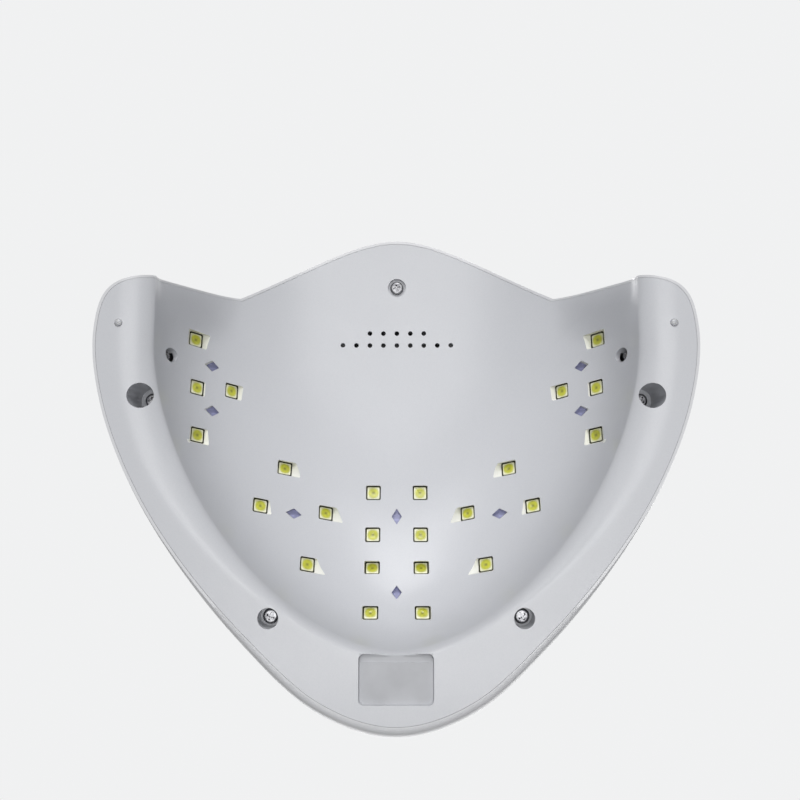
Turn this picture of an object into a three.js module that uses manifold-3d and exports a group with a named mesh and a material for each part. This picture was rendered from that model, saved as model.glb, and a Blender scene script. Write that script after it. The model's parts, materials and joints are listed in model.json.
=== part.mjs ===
// LED nail lamp: a domed plastic housing over a hand-sized reflector bowl.
// Millimetres. X is right, -Y is the open front, +Y is the rear tip, +Z is up.
// The lamp stands on z = 0 on its rear flange and on two small nubs at the front.
import * as THREE from 'three';
import { mergeVertices } from 'three/addons/utils/BufferGeometryUtils.js';
import Module from 'manifold-3d';

const wasm = await Module();
wasm.setup();

// Overall sizes
const WIDTH = 231;
const LENGTH = 202.5;
const HEIGHT = 100;

// Walls and clearances
const SHELL_WALL = 2.4;
const LINER_WALL = 2;
const GAP = 0.3;
const OVERRUN = 6;
const SLIVER = 0.05;

// Plan outline: right half from the rear tip round to the hidden front of the dome
const HUB_Y_SHARE = 0.0988;
const OUTLINE_SHARES = [
  [0, 1], [0.265, 0.9051], [0.5092, 0.6534], [0.7188, 0.36], [0.8729, 0.0656], [0.9706, -0.2323],
  [0.9955, -0.5085], [0.9246, -0.7748], [0.6922, -1.0276], [0.3659, -1.1831], [0, -1.2511],
];
const FOOT_Y_SHARE = -0.722;
const NOTCH_X_SHARE = 0.589;
const VISOR_ROUND = 26;
const EAR_SHARPNESS = 16;
const EAR_START_SHARE = 0.6;
const OUTLINE_STEPS = 12;

// Dome and its rim
const BELT_HEIGHT = 9;
const DOME_POWER = 2.2;
const ROLL_REAR = 4;
const FRONT_EDGE = 2.5;
const FRONT_EDGE_SHARE = 0.25;
const BELT_SHARES = [0, 0.4];
const DOME_SHARES = [0.993, 0.965, 0.9, 0.79, 0.63, 0.41];

// Reflector bowl and the flange round its mouth
const SIDE_FLANGE = 22.5;
const REAR_FLANGE = 31.5;
const BOWL_FRONT_SHARE = -0.444;
const MOUTH_POWER = 1.7;
const BOWL_POWER = 2.5;
const MOUTH_RADIUS = 6;
const NUB_HEIGHT = 0.8;
const LAND_START_SHARE = 0.395;
const LAND_END_SHARE = -0.395;
const VISOR_THICKNESS = 5.4;
const LIP_START_SHARE = -0.494;
const BOWL_SHARES = [1, 0.975, 0.92, 0.84, 0.71, 0.53, 0.3];
const MOUTH_SHARES = [1, 0.5, 0.12];

// Fan
const FAN_SIZE = 50;
const FAN_DEPTH = 10;
const FAN_WALL = 1;
const FAN_HOLE_INSET = 4.5;
const FAN_PEG = 3;
const ROTOR_TIP_GAP = 1;
const ROTOR_HUB = 11;
const ROTOR_HEIGHT = 6.5;
const BLADE_COUNT = 9;
const BLADE_THICKNESS = 1;
const BLADE_PITCH = 38;
const STRUT_WIDTH = 2.5;
const STRUT_HEIGHT = 1.4;
const SHAFT_RADIUS = 1;

// Main board, in a frame that tilts with the roof
const BOARD_WIDTH = 78;
const BOARD_LENGTH = 54;
const BOARD_THICKNESS = 1.6;
const BOARD_BEHIND_FAN = 23;
const BOARD_RISE = 1.2;
const POST_RADIUS = 2.6;
const POST_PIN = 1.2;
const POST_PLACE_SHARES = [[0.44, -0.13], [0.44, 0.43], [-0.44, -0.13], [-0.44, 0.43]];

// Buttons, their switches, the display and the panel round them
const BUTTON_NAMES = ['10s', '30s', '60s', '99s'];
const BUTTON_PITCH = 20;
const BUTTON_RADIUS = 5.5;
const BUTTON_PROUD = 0.8;
const BUTTON_BEHIND_FAN = 1.7;
const BUTTON_TRAVEL = 0.5;
const BUTTON_COLLAR = 1.2;
const COLLAR_HEIGHT = 0.8;
const COLLAR_SLACK = 0.4;
const STEM_FREE = 0.3;
const STEM_RADIUS = 1.8;
const SWITCH_SIZE = 6;
const SWITCH_HEIGHT = 3.1;
const PLUNGER_RADIUS = 1.7;
const PLUNGER_PROUD = 0.9;
const PLUNGER_SUNK = 0.7;
const DISPLAY_SIZE = [38, 16];
const DISPLAY_CLEARANCE = 1;
const DISPLAY_BEHIND_FAN = 23;
const DISPLAY_WINDOW = [34, 12];
const PANEL_SIZE = [86, 51];
const PANEL_BEHIND_FAN = 17;
const PANEL_CORNER = 11;
const PANEL_THICKNESS = 1;

// LED boards, the LEDs on them and their windows in the reflector
const LED_SIZE = 5;
const LED_HEIGHT = 1.3;
const LED_LENS = 4.6;
const LED_BOARD_THICKNESS = 1.2;
const LED_BOARD_MARGIN = 3.2;
const WINDOW_CLEARANCE = 0.45;
const WINDOW_FLARE = 0.2;
const RHOMBUS_LONG = 6;
const RHOMBUS_SHORT = 4.2;

// Places of the LEDs as shares of the bowl's half width and length, front pair or corner first.
// The first two and the last two span the board's diagonals.
const SIDE_LED_SHARES = [[0.913, -0.074], [0.881, 0.282], [0.895, 0.107], [0.762, 0.108]];
const SIDE_RHOMBUS_SHARES = [[0.842, 0.021], [0.832, 0.19]];
const MID_LED_SHARES = [[0.519, 0.395], [0.396, 0.744], [0.611, 0.534], [0.327, 0.562]];
const MID_RHOMBUS_SHARES = [[0.467, 0.563]];
const FRONT_LED_SHARES = [[-0.109, 0.486], [0.11, 0.642], [0.109, 0.486], [-0.11, 0.642]];
const FRONT_RHOMBUS_SHARES = [[0, 0.575]];
const REAR_LED_SHARES = [[-0.111, 0.762], [0.114, 0.911], [0.111, 0.762], [-0.114, 0.911]];
const REAR_RHOMBUS_SHARES = [[0, 0.845]];

// Infra-red pair that finds the hand
const SENSOR_RADIUS = 2.4;
const SENSOR_LENGTH = 8;
const SENSOR_SLEEVE = 1.5;
const SENSOR_SHARE = [0.977, 0.007];

// Screws, their wells in the flange and their bosses in the dome
const SCREW_HEAD_RADIUS = 2.9;
const SCREW_HEAD_HEIGHT = 2;
const SCREW_RADIUS = 1.4;
const SCREW_LENGTH = 12;
const SLOT_WIDTH = 0.8;
const SLOT_DEPTH = 1.1;
const HEAD_FACE_SHARE = 0.75;
const HEAD_ROUND_SHARE = 0.33;
const SLOT_SHARE = 0.6;
const BOSS_RADIUS = 3.6;
const WELL_WALL = 1.5;
const WELL_SHELF = 2;
const SIDE_WELL_RADIUS = 4.8;
const SIDE_WELL_DEPTH = 22;
const SIDE_WELL_OFFSET = 3.7;
const SIDE_WELL_Y_SHARE = -0.248;
const REAR_WELL_RADIUS = 3.85;
const REAR_WELL_DEPTH = 10;
const REAR_WELL_SHARE = [0.407, 0.566];
const FRONT_WELL_RADIUS = 4;
const FRONT_WELL_DEPTH = 2.2;
const FRONT_WELL_SHELF = 1.3;
const FRONT_WELL_Y_SHARE = -0.795;

// Nubs, vents, label recess, exhaust slots and power inlet
const NUB_RADIUS = 1.5;
const NUB_COLLAR = 1;
const NUB_TIP_SHARE = 0.6;
const NUB_X_SHARE = 0.9126;
const NUB_Y_SHARE = -0.5215;
const VENT_RADIUS = 1.05;
const VENT_PITCH = 6;
const VENT_ROW_START = 5;
const VENT_ROW_PITCH = 5.4;
const VENT_COUNTS = [9, 5];
const LABEL_WIDTH = 27.4;
const LABEL_LENGTH = 18.2;
const LABEL_CORNER = 2;
const LABEL_DEPTH = 1;
const LABEL_Y_SHARE = 0.7822;
const EXHAUST_COUNT = 9;
const EXHAUST_PITCH = 6.5;
const EXHAUST_WIDTH = 2.4;
const EXHAUST_LENGTH = 16;
const EXHAUST_Y_SHARE = 0.57;
const SOCKET_WIDTH = 9;
const SOCKET_DEPTH = 13;
const SOCKET_HEIGHT = 11;
const SOCKET_BORE = 2.9;
const SOCKET_BORE_DEPTH = 9.5;
const SOCKET_PIN = 1;
const SOCKET_HOLE = 4.2;
const SOCKET_SETBACK = 0.9;

// Wiring
const WIRE_RADIUS = 1.1;
const WIRE_LEAD = 5;
const WIRE_STEPS = 7;
const WIRE_HEADROOM = 7;

// Counts of facets
const ROUND_SIDES = 16;
const SMALL_SIDES = 8;
const WIRE_HALF_SIDES = 3;
const STATION_COUNTS = [12, 8, 5];

const HALF_WIDTH = WIDTH / 2;
const HALF_LENGTH = LENGTH / 2;
const HUB_Y = HUB_Y_SHARE * HALF_LENGTH;
const FOOT_Y = FOOT_Y_SHARE * HALF_LENGTH;
const NOTCH_X = NOTCH_X_SHARE * HALF_WIDTH;
const BOWL_HALF = HALF_WIDTH - SIDE_FLANGE;
const BOWL_FRONT = BOWL_FRONT_SHARE * HALF_LENGTH;
const BOWL_LENGTH = HALF_LENGTH - REAR_FLANGE - BOWL_FRONT;
const FRONT_WELL_Y = FRONT_WELL_Y_SHARE * HALF_LENGTH;
const FAN_Y = FRONT_WELL_Y + FRONT_WELL_RADIUS + WELL_WALL + GAP + FAN_SIZE / 2;
const FAN_BORE = FAN_SIZE - 2 * FAN_WALL;
const FAN_HOLE_PITCH = FAN_SIZE - 2 * FAN_HOLE_INSET;
const ROTOR_RADIUS = FAN_BORE / 2 - ROTOR_TIP_GAP;
const BOARD_Y = FAN_Y + BOARD_BEHIND_FAN;
const BUTTON_Y = FAN_Y + BUTTON_BEHIND_FAN;
const DISPLAY_Y = FAN_Y + DISPLAY_BEHIND_FAN;
const PANEL_Y = FAN_Y + PANEL_BEHIND_FAN;

// Materials
const pearl = new THREE.MeshStandardMaterial({ color: 0xdcdde0, roughness: 0.3, metalness: 0 });
const reflector = new THREE.MeshStandardMaterial({ color: 0xc9cbd2, roughness: 0.28, metalness: 0.1 });
const gloss = new THREE.MeshStandardMaterial({ color: 0x23242a, roughness: 0.12, metalness: 0 });
const keys = new THREE.MeshStandardMaterial({ color: 0xe8e9ec, roughness: 0.35, metalness: 0 });
const blackPlastic = new THREE.MeshStandardMaterial({ color: 0x1c1d20, roughness: 0.5, metalness: 0 });
const greenBoard = new THREE.MeshStandardMaterial({ color: 0x1d5a36, roughness: 0.45, metalness: 0 });
const whiteBoard = new THREE.MeshStandardMaterial({ color: 0xb4b8d8, roughness: 0.4, metalness: 0.2 });
const phosphor = new THREE.MeshStandardMaterial({ color: 0xc8cd3c, roughness: 0.35, metalness: 0 });
const steel = new THREE.MeshStandardMaterial({ color: 0xb9bbbf, roughness: 0.3, metalness: 1 });
const smokedLens = new THREE.MeshStandardMaterial({ color: 0x6c6a78, roughness: 0.15, metalness: 0 });
const softNub = new THREE.MeshStandardMaterial({ color: 0xe4e6ea, roughness: 0.4, metalness: 0 });
const wire = new THREE.MeshStandardMaterial({ color: 0xa83028, roughness: 0.5, metalness: 0 });

// Solids and meshes

function solid(geometry) {
  const bare = geometry.index ? geometry.toNonIndexed() : geometry.clone();
  bare.deleteAttribute('normal');
  bare.deleteAttribute('uv');
  const merged = mergeVertices(bare);
  const index = merged.index.array;
  const kept = [];
  for (let i = 0; i < index.length; i += 3) {
    const [a, b, c] = [index[i], index[i + 1], index[i + 2]];
    if (a !== b && b !== c && c !== a) kept.push(a, b, c);
  }
  const vertProperties = new Float32Array(merged.attributes.position.array);
  return new wasm.Manifold(new wasm.Mesh({ numProp: 3, vertProperties, triVerts: new Uint32Array(kept) }));
}

function addMesh(group, name, shape, material) {
  const { vertProperties, triVerts, numProp } = shape.getMesh();
  const points = new Float32Array((vertProperties.length / numProp) * 3);
  for (let i = 0; i < points.length / 3; i++) {
    points.set(vertProperties.subarray(i * numProp, i * numProp + 3), i * 3);
  }
  const geometry = new THREE.BufferGeometry();
  geometry.setAttribute('position', new THREE.BufferAttribute(points, 3));
  geometry.setIndex(new THREE.BufferAttribute(new Uint32Array(triVerts), 1));
  geometry.computeVertexNormals();
  const mesh = new THREE.Mesh(geometry, material);
  mesh.name = name;
  group.add(mesh);
}

// Upright cylinder or cone between two heights; rather few sides give squares and rhombi.
function rod(radius, low, high, sides = ROUND_SIDES, topRadius = radius) {
  const geometry = new THREE.CylinderGeometry(topRadius, radius, high - low, sides);
  geometry.rotateX(Math.PI / 2);
  geometry.translate(0, 0, (low + high) / 2);
  return geometry;
}

function block(width, length, low, high) {
  const geometry = new THREE.BoxGeometry(width, length, high - low);
  geometry.translate(0, 0, (low + high) / 2);
  return geometry;
}

function roundedPlate(width, length, corner, low, high) {
  const [x, y] = [width / 2, length / 2];
  const shape = new THREE.Shape();
  shape.moveTo(x, corner - y);
  shape.absarc(x - corner, y - corner, corner, 0, Math.PI / 2);
  shape.absarc(corner - x, y - corner, corner, Math.PI / 2, Math.PI);
  shape.absarc(corner - x, corner - y, corner, Math.PI, 1.5 * Math.PI);
  shape.absarc(x - corner, corner - y, corner, 1.5 * Math.PI, 2 * Math.PI);
  const geometry = new THREE.ExtrudeGeometry(shape, {
    depth: high - low,
    bevelEnabled: false,
    curveSegments: SMALL_SIDES / 2,
  });
  geometry.translate(0, 0, low);
  return geometry;
}

function placed(geometry, frame) {
  return solid(geometry.clone().applyMatrix4(frame));
}

// Solid turned about the Z axis from a profile of [radius, height] points
function turned(profile, sides) {
  const points = profile.map(([radius, height]) => new THREE.Vector2(radius, height));
  return solid(new THREE.LatheGeometry(points, sides).rotateX(Math.PI / 2));
}

function at(x, y, z = 0) {
  return new THREE.Matrix4().makeTranslation(x, y, z);
}

function axisFrame(origin, normal) {
  const turn = new THREE.Quaternion().setFromUnitVectors(new THREE.Vector3(0, 0, 1), normal);
  return new THREE.Matrix4().compose(origin, turn, new THREE.Vector3(1, 1, 1));
}

// Plan outline in polar form about the hub, angles counter-clockwise from the rear

const outlineSamples = (() => {
  const half = OUTLINE_SHARES.map(([x, y]) => new THREE.Vector2(x * HALF_WIDTH, y * HALF_LENGTH));
  const mirrored = (point) => new THREE.Vector2(-point.x, point.y);
  const loop = [mirrored(half[1]), ...half, mirrored(half[half.length - 2])];
  const samples = new THREE.SplineCurve(loop).getPoints(OUTLINE_STEPS * (loop.length - 1));
  return samples.slice(OUTLINE_STEPS, OUTLINE_STEPS * (loop.length - 2) + 1).map((point) => ({
    angle: Math.abs(Math.atan2(point.x, point.y - HUB_Y)),
    reach: Math.hypot(point.x, point.y - HUB_Y),
  }));
})();

function foldAngle(angle) {
  return angle > Math.PI ? 2 * Math.PI - angle : angle;
}

function domeReach(angle) {
  const folded = foldAngle(angle);
  const next = outlineSamples.findIndex((sample) => sample.angle >= folded);
  if (next < 1) return outlineSamples.at(next).reach;
  const [a, b] = [outlineSamples[next - 1], outlineSamples[next]];
  return a.reach + ((b.reach - a.reach) * (folded - a.angle)) / (b.angle - a.angle);
}

function visorY(x) {
  if (Math.abs(x) >= NOTCH_X) return FOOT_Y;
  const rise = Math.hypot(x, VISOR_ROUND) - VISOR_ROUND;
  return -HALF_LENGTH + (FOOT_Y + HALF_LENGTH) * (rise / (Math.hypot(NOTCH_X, VISOR_ROUND) - VISOR_ROUND));
}

function visorReach(angle) {
  let [near, far] = [0, 2 * WIDTH];
  for (let step = 0; step < 50; step++) {
    const middle = (near + far) / 2;
    const inside = HUB_Y + middle * Math.cos(angle) > visorY(middle * Math.sin(angle));
    [near, far] = inside ? [middle, far] : [near, middle];
  }
  return near;
}

function outlineReach(angle) {
  const dome = domeReach(angle);
  if (Math.cos(angle) >= 0) return dome;
  return dome * (1 + (dome / visorReach(angle)) ** EAR_SHARPNESS) ** (-1 / EAR_SHARPNESS);
}

function rollAt(angle) {
  return ROLL_REAR * ((1 + Math.cos(angle)) / 2) ** 2;
}

function sweep(from, to, count) {
  return Array.from({ length: count }, (_, i) => from + ((to - from) * i) / count);
}

const STATIONS = (() => {
  const earStart = EAR_START_SHARE * Math.PI;
  const notch = Math.atan2(NOTCH_X, FOOT_Y - HUB_Y);
  const ends = [0, earStart, notch, Math.PI];
  const half = STATION_COUNTS.flatMap((count, i) => sweep(ends[i], ends[i + 1], count));
  const mirrored = half.slice(1).map((angle) => 2 * Math.PI - angle).reverse();
  return [...half, Math.PI, ...mirrored];
})();

function polar(angle, reach) {
  return new THREE.Vector2(-reach * Math.sin(angle), HUB_Y + reach * Math.cos(angle));
}

// Skin over one column of points per station, closed by a fan to the hub above and below
function loft(columns, bottom, top) {
  const points = [];
  const triangle = (...corners) => corners.forEach((corner) => points.push(corner.x, corner.y, corner.z));
  columns.forEach((column, i) => {
    const next = columns[(i + 1) % columns.length];
    triangle(bottom, next[0], column[0]);
    triangle(column[column.length - 1], next[next.length - 1], top);
    for (let j = 0; j + 1 < column.length; j++) {
      triangle(column[j], next[j], next[j + 1]);
      triangle(column[j], next[j + 1], column[j + 1]);
    }
  });
  const geometry = new THREE.BufferGeometry();
  geometry.setAttribute('position', new THREE.BufferAttribute(new Float32Array(points), 3));
  return solid(geometry);
}

// Outer dome

function domeHeight(share, inset) {
  const rise = Math.max(0, 1 - Math.min(1, share) ** DOME_POWER) ** (1 / DOME_POWER);
  return BELT_HEIGHT + (HEIGHT - inset - BELT_HEIGHT) * rise;
}

function domeZ(x, y, inset = 0) {
  const angle = Math.abs(Math.atan2(x, y - HUB_Y));
  return domeHeight(Math.hypot(x, y - HUB_Y) / (domeReach(angle) - inset), inset);
}

function domeColumn(angle, inset, floor) {
  const dome = domeReach(angle) - inset;
  const reach = outlineReach(angle) - inset;
  const roll = rollAt(angle);
  const wall = domeHeight(reach / dome, inset) - BELT_HEIGHT;
  const wallHeight = wall < SLIVER ? 0 : wall;
  const edge = Math.min(FRONT_EDGE, FRONT_EDGE_SHARE * wallHeight);
  const point = (r, z) => {
    const plan = polar(angle, r);
    return new THREE.Vector3(plan.x, plan.y, z);
  };
  const belt = BELT_SHARES.map((share) => {
    const sag = 1 - Math.sqrt(1 - (1 - share) ** 2);
    return point(reach - roll * sag, share * BELT_HEIGHT);
  });
  const shoulder = reach - edge;
  return [
    point(reach - roll, floor),
    ...belt,
    point(reach, BELT_HEIGHT),
    point(reach, BELT_HEIGHT + (wallHeight - edge) / 2),
    point(reach, BELT_HEIGHT + wallHeight - edge),
    point(shoulder, wallHeight ? domeHeight(shoulder / dome, inset) : BELT_HEIGHT),
    ...DOME_SHARES.map((share) => point(share * shoulder, domeHeight((share * shoulder) / dome, inset))),
  ];
}

function domeSolid(inset, floor = 0) {
  const columns = STATIONS.map((angle) => domeColumn(angle, inset, floor));
  return loft(columns, new THREE.Vector3(0, HUB_Y, floor), new THREE.Vector3(0, HUB_Y, HEIGHT - inset));
}

// Stack under the dome: buttons, main board, fan and the bowl's ceiling hang on each other

const tilt = Math.atan2(domeZ(0, DISPLAY_Y) - domeZ(0, BUTTON_Y), DISPLAY_Y - BUTTON_Y);
const collarRadius = BUTTON_RADIUS + BUTTON_COLLAR;
const outermostButton = ((BUTTON_NAMES.length - 1) / 2) * BUTTON_PITCH;
const SWITCH_TOP = BOARD_THICKNESS + GAP + SWITCH_HEIGHT;
const STEM_FOOT = SWITCH_TOP + PLUNGER_PROUD + GAP;
const STACK = STEM_FOOT + STEM_FREE + COLLAR_HEIGHT + COLLAR_SLACK + SHELL_WALL;
const underButtons = lowestDome(outermostButton, BUTTON_Y, collarRadius, collarRadius, tilt)
  - STACK / Math.cos(tilt) - (BUTTON_Y - BOARD_Y) * Math.tan(tilt);
const underRearEdge = domeZ(BOARD_WIDTH / 2, BOARD_Y + BOARD_LENGTH / 2, SHELL_WALL)
  - BOARD_THICKNESS - 2 * GAP - (BOARD_LENGTH / 2) * Math.sin(tilt);
const BOARD_Z = Math.min(underButtons, underRearEdge);
const underBoard = BOARD_Z - (BOARD_LENGTH / 2) * Math.sin(tilt) - BOARD_RISE;
const underDome = domeZ(FAN_SIZE / 2, FAN_Y - FAN_SIZE / 2, SHELL_WALL) - GAP;
const FAN_TOP = Math.min(underBoard, underDome);
const FAN_BOTTOM = FAN_TOP - FAN_DEPTH;
const FAN_SEAT = FAN_BOTTOM - GAP;
const CEILING = FAN_SEAT - LINER_WALL;
const LIP_HEIGHT = domeZ(0, -HALF_LENGTH) - VISOR_THICKNESS;

// Height of the dome over a place at its lowest near that place, seen along a tilted plane
function lowestDome(x, y, reachX, reachY, slope) {
  const steps = Array.from({ length: SMALL_SIDES }, (_, i) => (2 * Math.PI * i) / SMALL_SIDES);
  return Math.min(...steps.map((turn) => {
    const [dx, dy] = [reachX * Math.cos(turn), reachY * Math.sin(turn)];
    return domeZ(x + dx, y + dy) - dy * Math.tan(slope);
  }));
}

// Reflector bowl

function landZ(y) {
  const [start, end] = [LAND_START_SHARE * HALF_LENGTH, LAND_END_SHARE * HALF_LENGTH];
  return NUB_HEIGHT * THREE.MathUtils.smoothstep((start - y) / (start - end), 0, 1);
}

function ceilingZ(y) {
  const start = LIP_START_SHARE * HALF_LENGTH;
  const share = THREE.MathUtils.clamp((start - y) / (start + HALF_LENGTH), 0, 1);
  return CEILING - (CEILING - LIP_HEIGHT) * share ** 2;
}

function mouthShare(x, y, offset = 0) {
  const across = Math.abs(x) / (BOWL_HALF + offset);
  const along = Math.max(0, y - BOWL_FRONT) / (BOWL_LENGTH + offset);
  return (across ** MOUTH_POWER + along ** MOUTH_POWER) ** (1 / MOUTH_POWER);
}

function bowlZ(x, y, offset = 0) {
  const share = mouthShare(x, y, offset);
  const land = landZ(y) + offset;
  const radius = MOUTH_RADIUS - offset;
  if (share < 1) {
    const rise = (1 - share ** BOWL_POWER) ** (1 / BOWL_POWER);
    return land + radius + (ceilingZ(y) + offset - radius - land) * rise;
  }
  const out = (share - 1) * (BOWL_HALF + offset);
  return out < radius ? land + radius - Math.sqrt(radius ** 2 - (radius - out) ** 2) : land;
}

function mouthReach(angle, offset) {
  let [near, far] = [0, 2 * WIDTH];
  for (let step = 0; step < 50; step++) {
    const middle = (near + far) / 2;
    const plan = polar(angle, middle);
    [near, far] = mouthShare(plan.x, plan.y, offset) < 1 ? [middle, far] : [near, middle];
  }
  return near;
}

function bowlColumn(angle, offset, end, floor) {
  const mouth = Math.min(mouthReach(angle, offset), end);
  const radius = MOUTH_RADIUS - offset;
  const reaches = [end, ...MOUTH_SHARES.map((share) => mouth + share * radius)];
  reaches.push(...BOWL_SHARES.map((share) => share * mouth));
  const column = reaches.map((reach) => {
    const plan = polar(angle, Math.min(reach, end));
    return new THREE.Vector3(plan.x, plan.y, bowlZ(plan.x, plan.y, offset));
  });
  return [new THREE.Vector3(column[0].x, column[0].y, floor), ...column];
}

function bowlSolid(offset, margin) {
  const end = (angle) => outlineReach(angle) + margin(angle);
  const columns = STATIONS.map((angle) => bowlColumn(angle, offset, end(angle), -OVERRUN));
  const top = new THREE.Vector3(0, HUB_Y, bowlZ(0, HUB_Y, offset));
  return loft(columns, new THREE.Vector3(0, HUB_Y, -OVERRUN), top);
}

const cavity = bowlSolid(0, () => OVERRUN);

function bowlPoint(x, y) {
  return new THREE.Vector3(x, y, bowlZ(x, y));
}

function bowlPlace([across, along]) {
  return [across * BOWL_HALF, BOWL_FRONT + along * BOWL_LENGTH];
}

// Places shared by the two shells

const SIDE_WELL = { radius: SIDE_WELL_RADIUS, depth: SIDE_WELL_DEPTH, shelf: WELL_SHELF };
const REAR_WELL = { radius: REAR_WELL_RADIUS, depth: REAR_WELL_DEPTH, shelf: WELL_SHELF };
const FRONT_WELL = { radius: FRONT_WELL_RADIUS, depth: FRONT_WELL_DEPTH, shelf: FRONT_WELL_SHELF };
const sideWellX = BOWL_HALF + SIDE_WELL_OFFSET;
const sideWellY = SIDE_WELL_Y_SHARE * HALF_LENGTH;
const rearWellX = REAR_WELL_SHARE[0] * HALF_WIDTH;
const rearWellY = REAR_WELL_SHARE[1] * HALF_LENGTH;
const SCREWS = [
  screwPlace('case_screw_side_right', sideWellX, sideWellY, SIDE_WELL),
  screwPlace('case_screw_side_left', -sideWellX, sideWellY, SIDE_WELL),
  screwPlace('case_screw_rear_right', rearWellX, rearWellY, REAR_WELL),
  screwPlace('case_screw_rear_left', -rearWellX, rearWellY, REAR_WELL),
  screwPlace('case_screw_front', 0, FRONT_WELL_Y, FRONT_WELL),
];

function screwPlace(name, x, y, well) {
  const shelf = bowlZ(x, y) + well.depth;
  return { name, x, y, radius: well.radius, shelf, top: shelf + well.shelf };
}

const NUBS = [
  { name: 'foot_nub_right', x: NUB_X_SHARE * HALF_WIDTH, y: NUB_Y_SHARE * HALF_LENGTH },
  { name: 'foot_nub_left', x: -NUB_X_SHARE * HALF_WIDTH, y: NUB_Y_SHARE * HALF_LENGTH },
];

const boardFrame = at(0, BOARD_Y, BOARD_Z).multiply(new THREE.Matrix4().makeRotationX(tilt));

function onBoard(x, y) {
  return boardFrame.clone().multiply(at(x, (y - BOARD_Y) / Math.cos(tilt)));
}

// Height over the board's underside, along the board's normal
function overBoard(y, z) {
  return (z - BOARD_Z - (y - BOARD_Y) * Math.tan(tilt)) * Math.cos(tilt);
}

const BUTTONS = BUTTON_NAMES.map((label, i) => {
  const x = (i - (BUTTON_NAMES.length - 1) / 2) * BUTTON_PITCH;
  const roof = overBoard(BUTTON_Y, domeZ(x, BUTTON_Y));
  const lowest = overBoard(BUTTON_Y, lowestDome(x, BUTTON_Y, collarRadius, collarRadius, tilt));
  return { label, roof, lowest, frame: onBoard(x, BUTTON_Y + roof * Math.sin(tilt)) };
});

const LED_GROUPS = [
  ledGroup('right', SIDE_LED_SHARES, SIDE_RHOMBUS_SHARES, 1),
  ledGroup('left', SIDE_LED_SHARES, SIDE_RHOMBUS_SHARES, -1),
  ledGroup('mid_right', MID_LED_SHARES, MID_RHOMBUS_SHARES, 1),
  ledGroup('mid_left', MID_LED_SHARES, MID_RHOMBUS_SHARES, -1),
  ledGroup('centre_front', FRONT_LED_SHARES, FRONT_RHOMBUS_SHARES, 1),
  ledGroup('centre_rear', REAR_LED_SHARES, REAR_RHOMBUS_SHARES, 1),
];

// A flat board behind the curved reflector: its frame, and its LEDs and windows in that frame
function ledGroup(name, ledShares, rhombusShares, side) {
  const spots = (shares) => shares.map((share) => {
    const [x, y] = bowlPlace(share);
    return bowlPoint(side * x, y);
  });
  const leds = spots(ledShares);
  const rhombi = spots(rhombusShares);
  const along = leds[1].clone().sub(leds[0]);
  const normal = along.cross(leds[3].clone().sub(leds[2])).normalize();
  if (normal.z < 0) normal.negate();
  const across = new THREE.Vector3(1, 0, 0).addScaledVector(normal, -normal.x).normalize();
  const up = normal.clone().cross(across);
  const origin = leds.reduce((sum, led) => sum.add(led), new THREE.Vector3()).divideScalar(leds.length);
  const height = (point) => point.clone().sub(origin).dot(normal);
  const bulge = Math.max(...leds.map(height), ...rhombi.map(height));
  origin.addScaledVector(normal, bulge + LED_HEIGHT + 3 * GAP);
  const frame = new THREE.Matrix4().makeBasis(across, up, normal).setPosition(origin);
  const inverse = frame.clone().invert();
  const plumb = new THREE.Vector3(0, 0, 1).transformDirection(inverse);
  const lean = [plumb.x / plumb.z, plumb.y / plumb.z];
  const raised = (points, height) => points.map((point) => {
    const { x, y, z } = point.clone().applyMatrix4(inverse);
    return { x: x + lean[0] * (height - z), y: y + lean[1] * (height - z) };
  });
  const group = { name, frame, lean, leds: raised(leds, -GAP - LED_HEIGHT), rhombi: raised(rhombi, 0) };
  const reach = (key, pick) => pick(...group.leds.map((led) => led[key]));
  group.centre = [
    (reach('x', Math.max) + reach('x', Math.min)) / 2,
    (reach('y', Math.max) + reach('y', Math.min)) / 2,
  ];
  group.width = reach('x', Math.max) - reach('x', Math.min) + LED_SIZE + 2 * LED_BOARD_MARGIN;
  group.length = reach('y', Math.max) - reach('y', Math.min) + LED_SIZE + 2 * LED_BOARD_MARGIN;
  return group;
}

function inGroup(group, x, y, geometry) {
  return placed(geometry, group.frame.clone().multiply(at(x, y)));
}

// Cut that starts at a height over the board and falls straight down, the way the mould pulls
function pulledDown(group, x, y, height, geometry) {
  const shear = new THREE.Matrix4().makeShear(0, 0, 0, 0, ...group.lean);
  return placed(geometry, group.frame.clone().multiply(at(x, y, height)).multiply(shear));
}

function sensorFrame(side) {
  const [across, along] = bowlPlace(SENSOR_SHARE);
  const step = LINER_WALL;
  const origin = bowlPoint(side * across, along);
  const inward = bowlPoint(side * (across - step), along).sub(origin);
  const back = bowlPoint(side * across, along + step).sub(origin);
  const normal = inward.cross(back).normalize();
  if (normal.z < 0) normal.negate();
  return axisFrame(origin, normal);
}

// Outer shell: the dome with its bosses, board posts, panel recess and openings

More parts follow.
